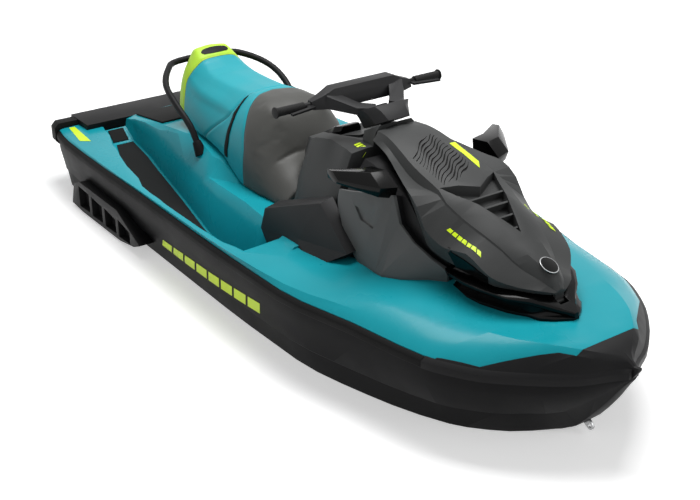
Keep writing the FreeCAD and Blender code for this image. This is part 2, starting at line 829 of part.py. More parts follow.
# Traction pads in the footwells and on their ramps.
pad = size("pad_thickness")
margin = size("pad_margin")


def pad_section(x, lift, inner, outer):
    floor = fair(WELLS, x)[1] if x > WELLS[1][0] else fair(WELLS[:2], x)[1]
    return [
        V(x, -inner, floor + seating),
        V(x, -outer, floor + seating),
        V(x, -outer, floor + lift),
        V(x, -inner, floor + lift),
    ]


floor_rows = [(r[0], r[2] + margin, r[3] - margin) for r in WELLS if -1380 < r[0] < 100]
floor_rows = [(-1370, 250 + margin, 366 - margin)] + floor_rows
floor_pad = skin([pad_section(x, pad, inner, outer) for x, inner, outer in floor_rows])
ramp_pad = skin([pad_section(x, pad, 262 + margin, 372 - margin) for x in (-1446, -1392)])
ramp_pad = ramp_pad.cut([deck_body])
floor_pad = floor_pad.cut([deck_body])
feature("footwell_pad", Part.makeCompound([floor_pad, other_side(floor_pad), ramp_pad, other_side(ramp_pad)]))

# Seat: a long bench, wide over the riser in front, with a raised back end under a cap.
seat_top = size("seat_top")
# Seat's rows: x, top, crown, then breadth and height of the shoulder, of the flank and of the foot.
SEATS = [
    (-1078, 30, 60, 96, 600, 118, 540, 122, 500),
    (-1050, 72, 74, 126, 650, 150, 560, 158, 474),
    (-1010, 84, 82, 142, 664, 172, 570, 182, 452),
    (-930, 30, 92, 160, 640, 188, 560, 200, 440),
    (-820, -2, 98, 172, 624, 196, 560, 212, 440),
    (-680, -4, 104, 180, 618, 202, 540, 226, 440),
    (-540, 2, 112, 190, 612, 212, 520, 232, 412),
    (-440, 14, 122, 204, 600, 226, 480, 238, 360),
    (-350, 16, 126, 212, 580, 238, 450, 244, 326),
    (-280, 0, 122, 208, 556, 238, 440, 246, 320),
    (-230, -84, 116, 200, 520, 236, 430, 246, 318),
    (-190, -164, 108, 194, 476, 230, 410, 244, 322),
    (-110, -216, 90, 176, 434, 218, 390, 236, 342),
    (-50, -262, 74, 156, 400, 200, 378, 222, 358),
]


def seat_section(x, top, crown, shoulder, shoulder_z, flank, flank_z, foot, foot_z):
    side = [(foot, foot_z), (flank, flank_z), (shoulder, shoulder_z), (crown, seat_top + top - 8)]
    curve = rounded(side, 3)
    inner = fair(RISERS, x)
    return mirrored([(0, foot_z - 6), (foot - 14, foot_z - 6)] + curve + [(0, seat_top + top)], x)


seat_rows = spread(SEATS, 2)
seat_solid = skin([seat_section(*row) for row in seat_rows])
riser_seat = skin(
    [
        mirrored([(0, 200), (y + 150, 200), (y, z + seating), (0, z + 4 + seating)], x)
        for x, y, z in riser_rows
    ]
)
seat_gap = size("seat_gap")
TONGUE = [(-190, 0), (-130, 70), (40, 150), (100, 230), (160, 290), (240, 340), (420, 340)]


def tongue(grow):
    """The console's outline in plan, which fits between the seat's front ends."""
    starboard = [V(x - grow, -y, 250) for x, y in TONGUE]
    port = [V(x - grow, y, 250) for x, y in reversed(TONGUE) if y > 0]
    return prism(starboard + port, V(0, 0, 600))


cap_room = prism(
    [V(-1200, -300, 400), V(-1052, -300, 400), V(-1040, -300, 600), V(-952, -300, 690), V(-900, -300, 1000),
     V(-1200, -300, 1000)],
    V(0, 600, 0),
)
lifted_deck = deck_solid.copy()
lifted_deck.translate(V(0, 0, seating))
seat_body = seat_solid.cut([riser_seat, lifted_deck, tongue(seat_gap)])
seat_cap = seat_body.common(cap_room)
feature("seat", seat_body.cut(cap_room))
feature("seat_cap", seat_cap)

# Console between the seat and the hood, with the neck that the handlebar turns on.
gap = size("panel_gap")
hood_rear = 392
# Console's rows: x, foot's height and breadth, then breadth and height of the waist, edge and crown, and the
# middle's height.
CONSOLES = [
    (-190, 322, 200, 180, 420, 130, 470, 80, 480, 480),
    (-123, 326, 210, 190, 470, 140, 540, 96, 552, 540),
    (-20, 332, 240, 204, 500, 150, 628, 116, 640, 596),
    (83, 340, 290, 224, 520, 158, 676, 122, 690, 654),
    (200, 352, 320, 246, 540, 168, 706, 128, 716, 694),
    (320, 360, 330, 262, 560, 192, 716, 136, 724, 720),
    (hood_rear - gap, 366, 330, 272, 560, 204, 716, 140, 722, 722),
]
console_rows = spread(CONSOLES, 1)
console_solid = skin(
    [
        mirrored(
            [(0, foot_z), (foot, foot_z), (waist, waist_z), (edge, edge_z)]
            + [(crown, crown_z), (70, middle), (0, middle)],
            x,
        )
        for x, foot_z, foot, waist, waist_z, edge, edge_z, crown, crown_z, middle in console_rows
    ]
)
rake = math.radians(size("steer_rake"))
stem_line = V(-math.sin(rake), 0, math.cos(rake))
across = V(math.cos(rake), 0, math.sin(rake))
stem_r = size("stem_radius")
stem_length = size("stem_length")
bar_z = size("bar_height")
bar_x = 158
stem_top = V(bar_x + size("bar_offset"), 0, bar_z - 12)
stem_foot = stem_top - stem_line * stem_length
bearing = Part.makeCylinder(stem_r + running, 400, stem_foot - stem_line * 2, stem_line)


def neck_ring(distance, rear, front, breadth):
    """An eight-sided ring round the steering axis, at a distance below the handlebar's head."""
    centre = stem_top - stem_line * distance
    plan = [(-rear, 0.55), (-0.45 * rear, 1), (0.5 * front, 1), (front, 0.6)]
    points = [centre + across * u + V(0, -breadth * w, 0) for u, w in plan]
    return points + [centre + across * u + V(0, breadth * w, 0) for u, w in reversed(plan)]


neck_root_z = 647
neck_reach = bar_z - neck_root_z
neck = skin([neck_ring(74, 74, 96, 84), neck_ring(110, 90, 122, 100), neck_ring(neck_reach, 110, 150, 118)])
console_body = console_solid.fuse(neck).common(tongue(0).fuse(block(40, 520, -400, 400, 200, bar_z + 153)))
console_body = console_body.cut([deck_body, bearing, block(hood_rear - gap, 700, -400, 400, 300, bar_z + 53)])
lid_rear = 118
lid_front = 238
lid_half = 62
lid_t = 8
lid_slope = (fair(CONSOLES, lid_front)[9] - fair(CONSOLES, lid_rear)[9]) / (lid_front - lid_rear)


def on_console(x, lift):
    """Height over the console's middle."""
    return fair(CONSOLES, lid_rear)[9] + (x - lid_rear) * lid_slope + lift


def lid_plate(low, high, margin):
    """A plate along the console's middle, between two heights over it."""
    ends = (lid_rear - margin, lid_front + margin)
    profile = [V(x, -lid_half - margin, on_console(x, low)) for x in ends]
    profile += [V(x, -lid_half - margin, on_console(x, high)) for x in reversed(ends)]
    return prism(profile, V(0, 2 * (lid_half + margin), 0))


hinge_r = size("hinge_radius")
lid_hinge = V(lid_front + 2 * hinge_r, 0, on_console(lid_front, lid_t - 2))
lid_barrel = Part.makeCylinder(hinge_r + 3, 60, lid_hinge - V(0, 30, 0), V(0, 1, 0))
lid_arm = block(lid_front - 10, lid_hinge.x, -30, 30, lid_hinge.z - 4, lid_hinge.z + 2)
lid = lid_plate(0, lid_t, 0).fuse([lid_barrel, lid_arm])
lid = lid.cut(Part.makeCylinder(hinge_r + running, 100, lid_hinge - V(0, 50, 0), V(0, 1, 0)))
lid_pin = Part.makeCylinder(hinge_r, 84, lid_hinge - V(0, 42, 0), V(0, 1, 0))
pin_seats = block(lid_hinge.x - 3, lid_hinge.x + 10, -42, -35, lid_hinge.z - 40, lid_hinge.z + 6)
pin_seats = pin_seats.fuse(other_side(pin_seats))
barrel_room = block(lid_front - 14, lid_hinge.x + 14, -35, 35, lid_hinge.z - 12, lid_hinge.z + 30)
console_body = console_body.cut([lid_plate(-2, 40, 5), lid_plate(-90, 2, -16), barrel_room])
console_body = console_body.fuse([lid_pin, pin_seats])
GAUGES = [  # x, breadth, low and high
    (-118, 44, 548, 568),
    (-96, 60, 552, 598),
    (60, 66, 630, 690),
    (98, 50, 652, 700),
]
gauge = skin([mirrored([(0, low), (y, low), (y, 0.4 * low + 0.6 * high), (0.8 * y, high), (0, high)], x)
              for x, y, low, high in GAUGES])
feature("console", console_body)
feature("gauge_pod", gauge.cut(console_body))
feature("glovebox_lid", lid)

# Lines of the hood, which the frame under it shares.
# Hood's rows: x, then breadth and height of the foot, of the edge and of the shoulder, crown, side step.
HOODS = [
    (hood_rear, 98, 730, 112, 750, 90, 782, 788, 14),
    (450, 104, 726, 126, 746, 98, 784, 795, 24),
    (519, 112, 720, 146, 742, 108, 774, 788, 30),
    (626, 165, 698, 184, 722, 124, 744, 764, 36),
    (681, 190, 692, 204, 712, 130, 730, 754, 36),
    (736, 214, 680, 224, 704, 132, 716, 740, 30),
    (807, 224, 610, 232, 662, 134, 698, 722, 14),
    (857, 222, 533, 234, 594, 142, 672, 706, 8),
    (901, 212, 509, 226, 568, 136, 652, 694, 7),
    (946, 200, 496, 218, 554, 130, 634, 676, 7),
    (1040, 182, 486, 204, 566, 116, 606, 634, 7),
    (1106, 174, 480, 196, 538, 98, 576, 600, 6),
    (1147, 164, 476, 184, 516, 88, 552, 582, 6),
    (1190, 130, 472, 148, 496, 70, 528, 562, 5),
    (1236, 92, 468, 102, 484, 50, 510, 540, 4),
    (1268, 62, 466, 74, 482, 36, 494, 514, 3),
    (1292, 22, 462, 28, 470, 14, 474, 480, 2),
]

# Side panels beside the hood. The frame under them takes the same lines, one panel thickness inwards.
panel_wall = size("panel_wall")
PANELS = [  # x, low breadth and height, high breadth and height
    (438, 306, 586, 298, 616),
    (490, 311, 466, 292, 624),
    (565, 311, 406, 282, 642),
    (620, 316, 402, 272, 655),
    (700, 327, 398, 252, 672),
    (735, 328, 397, 250, 575),
    (800, 290, 404, 240, 525),
    (870, 222, 414, 218, 484),
    (925, 182, 424, 192, 452),
]


def inset(low_y, low_z, high_y, high_z, depth):
    """The ends of a panel's line, moved inwards by a depth."""
    run = math.hypot(high_y - low_y, high_z - low_z)
    dy = (high_z - low_z) / run * depth
    dz = (low_y - high_y) / run * depth
    return (low_y - dy, low_z - dz), (high_y - dy, high_z - dz)


panel_sections = []
frame_sections = []
for x, low_y, low_z, high_y, high_z in PANELS:
    low_in, high_in = inset(low_y, low_z, high_y, high_z, panel_wall)
    points = [(low_y, low_z - 30), (low_y, low_z), (high_y, high_z), high_in, (low_in[0], low_z - 30)]
    panel_sections.append([V(x, -y, z) for y, z in points])
    low_in, high_in = inset(low_y, low_z, high_y, high_z, panel_wall + seating)
    top = (high_in[0] - 22, high_in[1] - 8)
    hood_foot, hood_foot_z = fair(HOODS, x)[1:3]
    ledge = [(0.5 * (top[0] + hood_foot), hood_foot_z - 20), (0, hood_foot_z - 20)]
    frame_sections.append(mirrored([(0, 360), (low_in[0], 360), low_in, high_in, top] + ledge, x))
panel = skin(panel_sections).cut(deck_body)
pocket = skin(
    [
        [V(520, -420, 590), V(660, -420, 585), V(640, -420, 520), V(560, -420, 530)],
        [V(528, -285, 580), V(650, -285, 575), V(634, -285, 528), V(566, -285, 536)],
    ]
)
panel = panel.cut(pocket)
panels = [panel, other_side(skin(panel_sections).cut(pocket)).cut(deck_body)]
feature("side_panel_starboard", panels[0])
feature("side_panel_port", panels[1])

# Front frame under the hood, with the bin's mouth, and the glossy trim at the hood's nose.


def hood_section(x, foot, foot_z, edge, edge_z, shoulder, shoulder_z, crown_z, step):
    side = [(0, foot_z), (foot, foot_z), (edge, edge_z), (shoulder + 0.4 * step, shoulder_z - step)]
    return mirrored(side + [(shoulder, shoulder_z), (0.5 * shoulder, crown_z - 4), (0, crown_z)], x)


def hollow_section(x, foot, foot_z, edge, edge_z, shoulder, shoulder_z, crown_z, step):
    """The hood's inside: the same lines, one wall in and open below."""
    inner = foot - hood_wall
    roof_z = min(crown_z - 62, shoulder_z - step - 24)
    wall_line = [(0, foot_z - 60), (inner, foot_z - 60), (inner, edge_z - 34)]
    return mirrored(wall_line + [(0.7 * inner, roof_z), (0, crown_z - 50)], x)


hood_wall = 26
hood_rows = spread(HOODS, 2)
hood_solid = skin([hood_section(*row) for row in hood_rows])
hollow_rows = [fair(HOODS, x) for x in (430, 519, 626, 681, 736, 807, 857, 901, 946, 1020, 1070)]
hood_hollow = skin([hollow_section(*row) for row in hollow_rows])
hinge_x = HOODS[-1][0] - 4
hinge_z = 430
hinge_half = 20
vent_prism = prism([V(800, -126, 560), V(872, 0, 560), V(800, 126, 560), V(1088, 0, 560)], V(0, 0, 300))
vent_floor = skin(
    [
        mirrored([(0, 560), (150, 560), (150, crown - 34), (0, crown - 26)], x)
        for x, crown in [(780, 712), (872, 690), (980, 646), (1110, 582)]
    ]
)
vent = vent_prism.cut(vent_floor)
slats = []
for k in range(4):
    x = 872 + 52 * k
    top = fair(HOODS, x)[7] - 10
    half = 92 - 20 * k
    blade = [(x, top - 40), (x + 26, top - 46), (x + 34, top - 16), (x + 26, top - 14)]
    slat = prism([V(a, -half, z) for a, z in blade], V(0, 2 * half, 0))
    slats.append(slat)
slats = slats[0].fuse(slats[1:]).common(vent_prism)
knuckle = Part.makeCylinder(2 * hinge_r, 2 * hinge_half, V(hinge_x, -hinge_half, hinge_z), V(0, 1, 0))
knuckle = knuckle.fuse(block(hinge_x - 8, hinge_x + 2, -hinge_half, hinge_half, hinge_z, 472))
knuckle_bore = Part.makeCylinder(hinge_r + running, 100, V(hinge_x, -50, hinge_z), V(0, 1, 0))
hood_body = hood_solid.cut([hood_hollow, vent]).fuse([slats, knuckle]).cut(knuckle_bore)
feature("hood", hood_body)

hood_space = skin(
    [
        mirrored([(0, foot_z - gap), (foot + gap, foot_z - gap), (foot + gap + 40, 900), (0, 900)], x)
        for x, foot, foot_z, *_ in [(HOODS[0][0] - gap, *HOODS[0][1:])] + HOODS[1:12]
    ]
)
frame_body = skin(frame_sections).cut([deck_body, bin_box, hood_space] + panels)
frame_body = max(frame_body.Solids, key=lambda solid: solid.Volume)
feature("front_frame", frame_body)
TRIMS = [  # x, lower lip's breadth, upper lip's breadth and height
    (925, 150, 194, 460),
    (953, 178, 208, 462),
    (1039, 190, 213, 463),
    (1098, 182, 202, 462),
    (1200, 146, 165, 458),
    (1263, 110, 112, 452),
    (1301, 98, 68, 436),
    (1337, 62, 34, 426),
    (1374, 12, 8, 420),
]
trim_sections = [
    mirrored(
        [(0, 350), (low - 8, 350), (low, 388), (low, 402), (0.9 * low, 408)]
        + [(0.9 * up, high - 18), (up, high - 10), (up, high), (0.9 * up, high + 6), (0, high + 6)],
        x,
    )
    for x, low, up, high in TRIMS
]
trim_body = skin(trim_sections).cut([deck_solid, bin_box, frame_body, hood_space] + panels)
pin_room = block(hinge_x - 18, hinge_x + 30, -hinge_half - 1, hinge_half + 1, hinge_z - 14, 600)
nose_rows = [(x, foot, foot_z) for x, foot, foot_z, *rest in HOODS[8:]]
nose_rows[-1] = (nose_rows[-1][0] + gap, *nose_rows[-1][1:])
hood_room = skin(
    [
        mirrored([(0, foot_z - gap), (foot + gap, foot_z - gap), (foot + 40, 700), (0, 700)], x)
        for x, foot, foot_z in nose_rows
    ]
)
trim_body = trim_body.cut([pin_room, hood_room])
hinge_pin = Part.makeCylinder(hinge_r, 2 * hinge_half + 16, V(hinge_x, -hinge_half - 8, hinge_z), V(0, 1, 0))
feature("nose_trim", trim_body.fuse(hinge_pin))

# Handlebar: a stem on the raked steering axis, a straight bar, two grips with levers and a padded cover.
stem = Part.makeCylinder(stem_r, stem_length + 6, stem_foot, stem_line)
half_span = size("bar_span") / 2
bar_r = size("bar_radius")
grip_r = size("grip_radius")
grip_length = size("grip_length")
bar_length = 2 * half_span - 2 * grip_length
bar = Part.makeCylinder(bar_r, bar_length, V(bar_x, grip_length - half_span, bar_z), V(0, 1, 0))
bar_room = Part.makeCylinder(bar_r + seating, 2 * half_span, V(bar_x, -half_span, bar_z), V(0, 1, 0))
stem_room = Part.makeCylinder(stem_r + seating, 400, stem_foot - stem_line * 10, stem_line)
cowl = skin([neck_ring(66, 78, 92, 82), neck_ring(24, 66, 70, 96), neck_ring(0, 52, 52, 112)])
BRIDGE = [  # breadth across, rear and front at the foot, rear and front at the top, low and high over the bar
    (-236, 136, 182, 146, 172, -15, 15),
    (-190, 126, 196, 140, 180, -17, 31),
    (-140, 118, 206, 134, 186, -19, 53),
    (140, 118, 206, 134, 186, -19, 53),
    (190, 126, 196, 140, 180, -17, 31),
    (236, 136, 182, 146, 172, -15, 15),
]
bridge = skin(
    [
        [V(a, y, bar_z + low), V(b, y, bar_z + low), V(d, y, bar_z + high), V(c, y, bar_z + high)]
        for y, a, b, c, d, low, high in BRIDGE
    ]
)
ARMS = [  # three sections of an arm, each four corners: x, distance from the middle, height over the bar
    [(150, 150, -15), (190, 190, -15), (190, 180, 31), (150, 140, 39)],
    [(252, 72, -35), (286, 118, -27), (290, 112, -1), (250, 74, 3)],
    [(300, 30, -31), (330, 60, -23), (330, 60, -1), (300, 30, 3)],
]
arms = [skin([[V(x, side * y, bar_z + z) for x, y, z in section] for section in ARMS]) for side in (-1, 1)]
cover = bridge.fuse(arms + [cowl]).cut([bar_room, stem_room])
grip = Part.makeCylinder(grip_r, grip_length, V(bar_x, -half_span, bar_z), V(0, 1, 0))
flange = Part.makeCylinder(grip_r + 5, 7, V(bar_x, -half_span, bar_z), V(0, 1, 0))
grip = grip.fuse(flange)
lever = prism(
    [
        V(bar_x, grip_length - half_span + 30, bar_z - 4),
        V(bar_x + 40, grip_length - half_span + 30, bar_z - 4),
        V(bar_x + 62, 40 - half_span, bar_z - 4),
        V(bar_x + 48, 40 - half_span, bar_z - 4),
        V(bar_x + 26, grip_length - half_span + 6, bar_z - 4),
        V(bar_x, grip_length - half_span + 6, bar_z - 4),
    ],
    V(0, 0, 8),
).cut([bar_room])
feature("steering_stem", stem)
feature("handlebar", bar)
feature("bar_cover", cover)
feature("grips", both_sides(grip))
feature("levers", both_sides(lever.cut([bridge])))

# Wing pods beside the hood, which carry the mirrors.
pod = skin(
    [
        [V(566, -236, 648), V(690, -236, 652), V(706, -236, 700), V(640, -236, 742), V(556, -236, 730)],
        [V(548, -300, 672), V(676, -300, 668), V(690, -300, 706), V(630, -300, 746), V(546, -300, 734)],
        [V(500, -392, 706), V(552, -394, 702), V(562, -392, 716), V(530, -394, 742), V(494, -392, 736)],
    ]
)
around_pods = [skin(frame_sections), hood_space] + panels
pods = [pod.cut(around_pods), other_side(pod).cut(around_pods)]
feature("mirror_starboard", pods[0])
feature("mirror_port", pods[1])

# Speaker pods at the footwells' front ends.
SPEAKERS = [  # corners of the inner face and of the outer face, in the same order
    (V(24, -300, 420), V(40, -378, 412)),
    (V(378, -286, 560), V(378, -345, 548)),
    (V(560, -300, 415), V(558, -350, 410)),
    (V(480, -320, 340), V(470, -394, 350)),
    (V(380, -330, 300), V(370, -412, 328)),
    (V(120, -330, 140), V(134, -412, 250)),
    (V(-30, -310, 250), V(14, -384, 320)),
]
speaker = skin([list(face) for face in zip(*SPEAKERS)])
around_speakers = [deck_body, hull_body, console_body, frame_body] + panels + pods
speakers = [speaker.cut(around_speakers), other_side(speaker).cut(around_speakers)]
speakers = [max(cut.Solids, key=lambda solid: solid.Volume) for cut in speakers]
feature("speaker_starboard", speakers[0])
feature("speaker_port", speakers[1])

# Grab handle: one bent tube round the seat's back.
handle_r = size("handle_radius")
HANDLE = [
    (-690, 264, 408),
    (-740, 276, 500),
    (-836, 290, 576),
    (-950, 274, 628),
    (-1050, 208, 664),
    (-1113, 122, 674),
]
route = [V(x, -y, z) for x, y, z in HANDLE] + [V(x, y, z) for x, y, z in reversed(HANDLE)]


def tube(points, radius, spans, sides=10):
    """A bar of flat sides along a smooth line through the points."""
    run = [V(*point) for point in rounded([(p.x, p.y, p.z) for p in points], spans)]
    rings = []
    side = V(1, 0, 0)
    for k, point in enumerate(run):
        along = (run[min(k + 1, len(run) - 1)] - run[max(k - 1, 0)]).normalize()
        side = (side - along * side.dot(along)).normalize()
        upper = along.cross(side)
        turns = [2 * math.pi * (i + 0.5) / sides for i in range(sides)]
        rings.append([point + side * (radius * math.cos(a)) + upper * (radius * math.sin(a)) for a in turns])
    return skin(rings)


handle = tube(route, handle_r, 4)
feature("grab_handle", handle.cut(deck_body).cut(seat_body))

# Boarding step: a bent tube that folds down behind the transom, on two lugs.
step_x = stern + 13
step_z = 30
step_r = size("step_radius")
step_half = size("step_width") / 2
step_height = size("step_height")
step_y = 290
step_bend = 34
step_top = step_z + step_height
corners = [
    V(step_x, step_y - step_half, step_z - 4),
    V(step_x, step_y - step_half, step_z + 60),
    V(step_x, step_y - step_half, step_top - step_bend),
    V(step_x, step_y - step_half + 0.3 * step_bend, step_top - 0.3 * step_bend),
    V(step_x, step_y - step_half + step_bend, step_top),
    V(step_x, step_y + step_half - step_bend, step_top),
    V(step_x, step_y + step_half - 0.3 * step_bend, step_top - 0.3 * step_bend),
    V(step_x, step_y + step_half, step_top - step_bend),
    V(step_x, step_y + step_half, step_z + 60),
    V(step_x, step_y + step_half, step_z - 4),
]
step = tube(corners, step_r, 2)
hole_r = hinge_r + running
rings = []
for side in (-1, 1):
    ring_y = step_y + side * step_half - 6
    rings.append(Part.makeCylinder(step_r + 2, 12, V(step_x, ring_y, step_z), V(0, 1, 0)))
step = step.fuse(rings).cut(Part.makeCylinder(hole_r, 400, V(step_x, step_y - 200, step_z), V(0, 1, 0)))
feature("boarding_step", step)
lugs = []
for side in (-1, 1):
    y0, y1 = sorted((step_y + side * (step_half - 12), step_y + side * (step_half - 18)))
    lug = block(step_x - 6, transom, y0, y1, step_z - 12, step_z + 12)
    pin = Part.makeCylinder(hinge_r, 22, V(step_x, step_y + side * (step_half - 18), step_z), V(0, side, 0))
    lugs.append(lug.fuse(pin))
feature("step_lugs", lugs[0].fuse(lugs[1:]))

# Bow eye and stern eyes for towing: plates with a hole.
eye_r = size("eye_radius")
eye_t = size("eye_thickness")


def flat_disc(x, y, z, radius):
    """A twelve-sided plate across the eye's thickness."""
    turns = [2 * math.pi * k / 12 for k in range(12)]
    points = [V(x + radius * math.cos(a), y - eye_t / 2, z + radius * math.sin(a)) for a in turns]
    return prism(points, V(0, eye_t, 0))


def tow_eye(x, y, z, reach, turn):
    """A plate that stands out from a face by its reach, with a hole at its end."""
    plate = block(x - reach, x, y - eye_t / 2, y + eye_t / 2, z - 2 * eye_r, z + 2 * eye_r)
    plate = plate.fuse(flat_disc(x - reach, y, z, 2 * eye_r)).cut(flat_disc(x - reach, y, z, eye_r))
    plate.rotate(V(x, y, z), V(0, 1, 0), turn)
    return plate


eye_setback = 207
feature("bow_eye", tow_eye(half_length - eye_setback, 0, 56, 34, 212).cut(hull_solid))
feature("stern_eyes", both_sides(tow_eye(transom, 470, 150, 22, 0)))

doc.recompute()
for obj in doc.Objects:
    if "Invalid" in obj.State or "Error" in obj.State:
        raise RuntimeError(f"{obj.Label}: {obj.State}")
os.makedirs("parts", exist_ok=True)
for obj in nodes:
    shape = obj.Shape
    if shape.isNull() or not shape.isValid():
        raise RuntimeError(f"{obj.Label} has no valid shape")
    shape.exportStep(f"parts/{obj.Label}.step")
    box = shape.BoundBox
    print(f"{obj.Label:22s} solids {len(shape.Solids)} x {box.XMin:.0f}..{box.XMax:.0f} "
          f"y {box.YMin:.0f}..{box.YMax:.0f} z {box.ZMin:.0f}..{box.ZMax:.0f} vol {shape.Volume/1e6:.2f}")
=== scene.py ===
# %% [markdown]
# # Dressing a personal watercraft
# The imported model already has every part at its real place. This lesson gives those parts the smooth
# moulded forms, finishes and small fittings of the real craft. Lengths are metres, +X is the bow,
# +Y is port and +Z is up, and the water's surface is at zero height.

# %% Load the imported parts
import bpy
import json
import math
import numpy
from mathutils import Matrix, Vector
from mathutils.bvhtree import BVHTree


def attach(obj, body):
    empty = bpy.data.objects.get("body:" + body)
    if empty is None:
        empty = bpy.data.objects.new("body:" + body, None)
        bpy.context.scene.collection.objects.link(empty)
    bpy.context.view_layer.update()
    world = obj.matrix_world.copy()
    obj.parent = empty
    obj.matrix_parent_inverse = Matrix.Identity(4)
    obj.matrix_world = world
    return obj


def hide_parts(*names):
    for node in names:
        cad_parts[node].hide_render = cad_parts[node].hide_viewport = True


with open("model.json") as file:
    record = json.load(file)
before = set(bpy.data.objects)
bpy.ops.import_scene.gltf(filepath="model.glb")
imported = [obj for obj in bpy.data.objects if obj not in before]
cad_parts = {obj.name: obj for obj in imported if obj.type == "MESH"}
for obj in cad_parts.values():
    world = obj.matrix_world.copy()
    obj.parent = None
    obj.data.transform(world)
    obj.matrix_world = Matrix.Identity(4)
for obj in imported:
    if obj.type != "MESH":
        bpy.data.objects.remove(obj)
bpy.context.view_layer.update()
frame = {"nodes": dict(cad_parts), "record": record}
bodies = frame["record"]["behaviour"]["bodies"]
body_of = {node: body for body, nodes in bodies.items() for node in nodes}

# %% [markdown]
# ## The camera
# The studio camera looks down on the bow's starboard side. Its place was solved from the craft's own
# proportions, so it is given as a point, two angles and a lens.

# %% Place the camera
azimuth = math.radians(54.25)
elevation = math.radians(26.39)
level = math.cos(elevation)
ahead = Vector((-math.sin(azimuth) * level, math.cos(azimuth) * level, -math.sin(elevation)))
right = Vector((math.cos(azimuth), math.sin(azimuth), 0))
upward = right.cross(ahead)
turned = Matrix((right, upward, -ahead)).transposed().to_4x4()
camera_data = bpy.data.cameras.new("studio_camera")
camera_data.lens = 61.7
camera = bpy.data.objects.new("studio_camera", camera_data)
bpy.context.collection.objects.link(camera)
camera.matrix_world = Matrix.Translation((3.741, -2.628, 2.371)) @ turned
bpy.context.scene.camera = camera
print("camera at", tuple(round(v, 3) for v in camera.location))

# %% [markdown]
# ## Small helpers
# Colours are picked as the hex codes of a screen, and Blender wants linear light, so one function
# turns them. Others add a shader node with its settings and links in one line, mix two colours, map
# one span of values onto another, and begin a material with an empty tree. With them a material reads
# like a recipe.

# %% Colour and node helpers
def linear(code):
    """The linear colour of a screen's hex code."""
    channels = [int(code[k:k + 2], 16) / 255 for k in (1, 3, 5)]
    return tuple(c / 12.92 if c <= 0.04045 else ((c + 0.055) / 1.055) ** 2.4 for c in channels) + (1.0,)


def add(tree, kind, sockets=None, **settings):
    """Adds a node. A socket's value is a plain one, or another node's output."""
    made = tree.nodes.new("ShaderNode" + kind)
    for name, value in settings.items():
        setattr(made, name, value)
    for socket, value in (sockets or {}).items():
        if isinstance(value, bpy.types.NodeSocket):
            tree.links.new(value, made.inputs[socket])
        else:
            made.inputs[socket].default_value = value
    return made


def blend(tree, factor, first, second):
    """Two colours mixed by a factor, the first one where it is 0."""
    return add(tree, "Mix", {0: factor, 6: first, 7: second}, data_type="RGBA").outputs[2]


def ramp(tree, value, given, wanted=(0.0, 1.0)):
    """A value mapped from the given span onto the wanted one, and held at its ends."""
    spans = {"From Min": given[0], "From Max": given[1], "To Min": wanted[0], "To Max": wanted[1]}
    return add(tree, "MapRange", {"Value": value, **spans}).outputs[0]


print("teal is", tuple(round(c, 3) for c in linear("#1A99A6")))

# %% Begin a finish
def new_finish(name):
    """A material, its emptied node tree, and the place on the object as an output."""
    finish = bpy.data.materials.new(name)
    finish.use_nodes = True
    finish.node_tree.nodes.clear()
    return finish, finish.node_tree, add(finish.node_tree, "TexCoord").outputs["Object"]


print(len(bpy.data.materials), "materials came with the packed parts")

# %% [markdown]
# ## The studio
# The craft is afloat, so the floor is the water's surface, at zero height. It is plain and white.
# Soft boxes hang above and beside, and the sky is white only to rays that look at it.

# %% Build the sky
sky_as_lamp, sky_as_seen = 0.22, 1.0


def white_sky():
    """Dim as a lamp, and white to the camera, in gloss and through glass."""
    world = bpy.data.worlds.new("white_studio")
    bpy.context.scene.world = world
    world.use_nodes = True
    tree = world.node_tree
    tree.nodes.clear()
    path = add(tree, "LightPath").outputs
    seen = add(tree, "Math", {0: path["Is Camera Ray"], 1: path["Is Glossy Ray"]}, operation="MAXIMUM")
    seen = add(tree, "Math", {0: seen.outputs[0], 1: path["Is Transmission Ray"]}, operation="MAXIMUM")
    lamp = add(tree, "Background", {"Color": linear("#FFFFFF"), "Strength": sky_as_lamp})
    shown = add(tree, "Background", {"Color": linear("#FFFFFF"), "Strength": sky_as_seen})
    mix = add(tree, "MixShader", {0: seen.outputs[0], 1: lamp.outputs[0], 2: shown.outputs[0]})
    add(tree, "OutputWorld", {"Surface": mix.outputs[0]})


bpy.context.scene.view_settings.view_transform = "Standard"
white_sky()
print("sky:", bpy.context.scene.world.name)

# %% Build the floor
glow_near, glow_far = 2.5, 7.0


def white_floor():
    """Matt, and lit up with distance until it meets the sky with no edge."""
    bpy.ops.mesh.primitive_plane_add(size=60, location=(0, 0, 0))
    floor = bpy.context.active_object
    floor.name = "studio_floor"
    finish, tree, where = new_finish("matt_white_floor")
    path = add(tree, "LightPath").outputs
    seen = add(tree, "Math", {0: path["Is Camera Ray"], 1: path["Is Glossy Ray"]}, operation="MAXIMUM")
    far = add(tree, "VectorMath", {0: where}, operation="LENGTH").outputs["Value"]
    rise = ramp(tree, far, (glow_near, glow_far), (0.45, 1.0))
    glow = add(tree, "Math", {0: seen.outputs[0], 1: rise}, operation="MULTIPLY")
    matt = add(tree, "BsdfDiffuse", {"Color": linear("#F2F2F2")})
    lift = add(tree, "Emission", {"Color": linear("#FFFFFF"), "Strength": glow.outputs[0]})
    both = add(tree, "AddShader", {0: matt.outputs[0], 1: lift.outputs[0]})
    add(tree, "OutputMaterial", {"Surface": both.outputs[0]})
    floor.data.materials.append(finish)


white_floor()
print("floor at zero height, the water's surface")

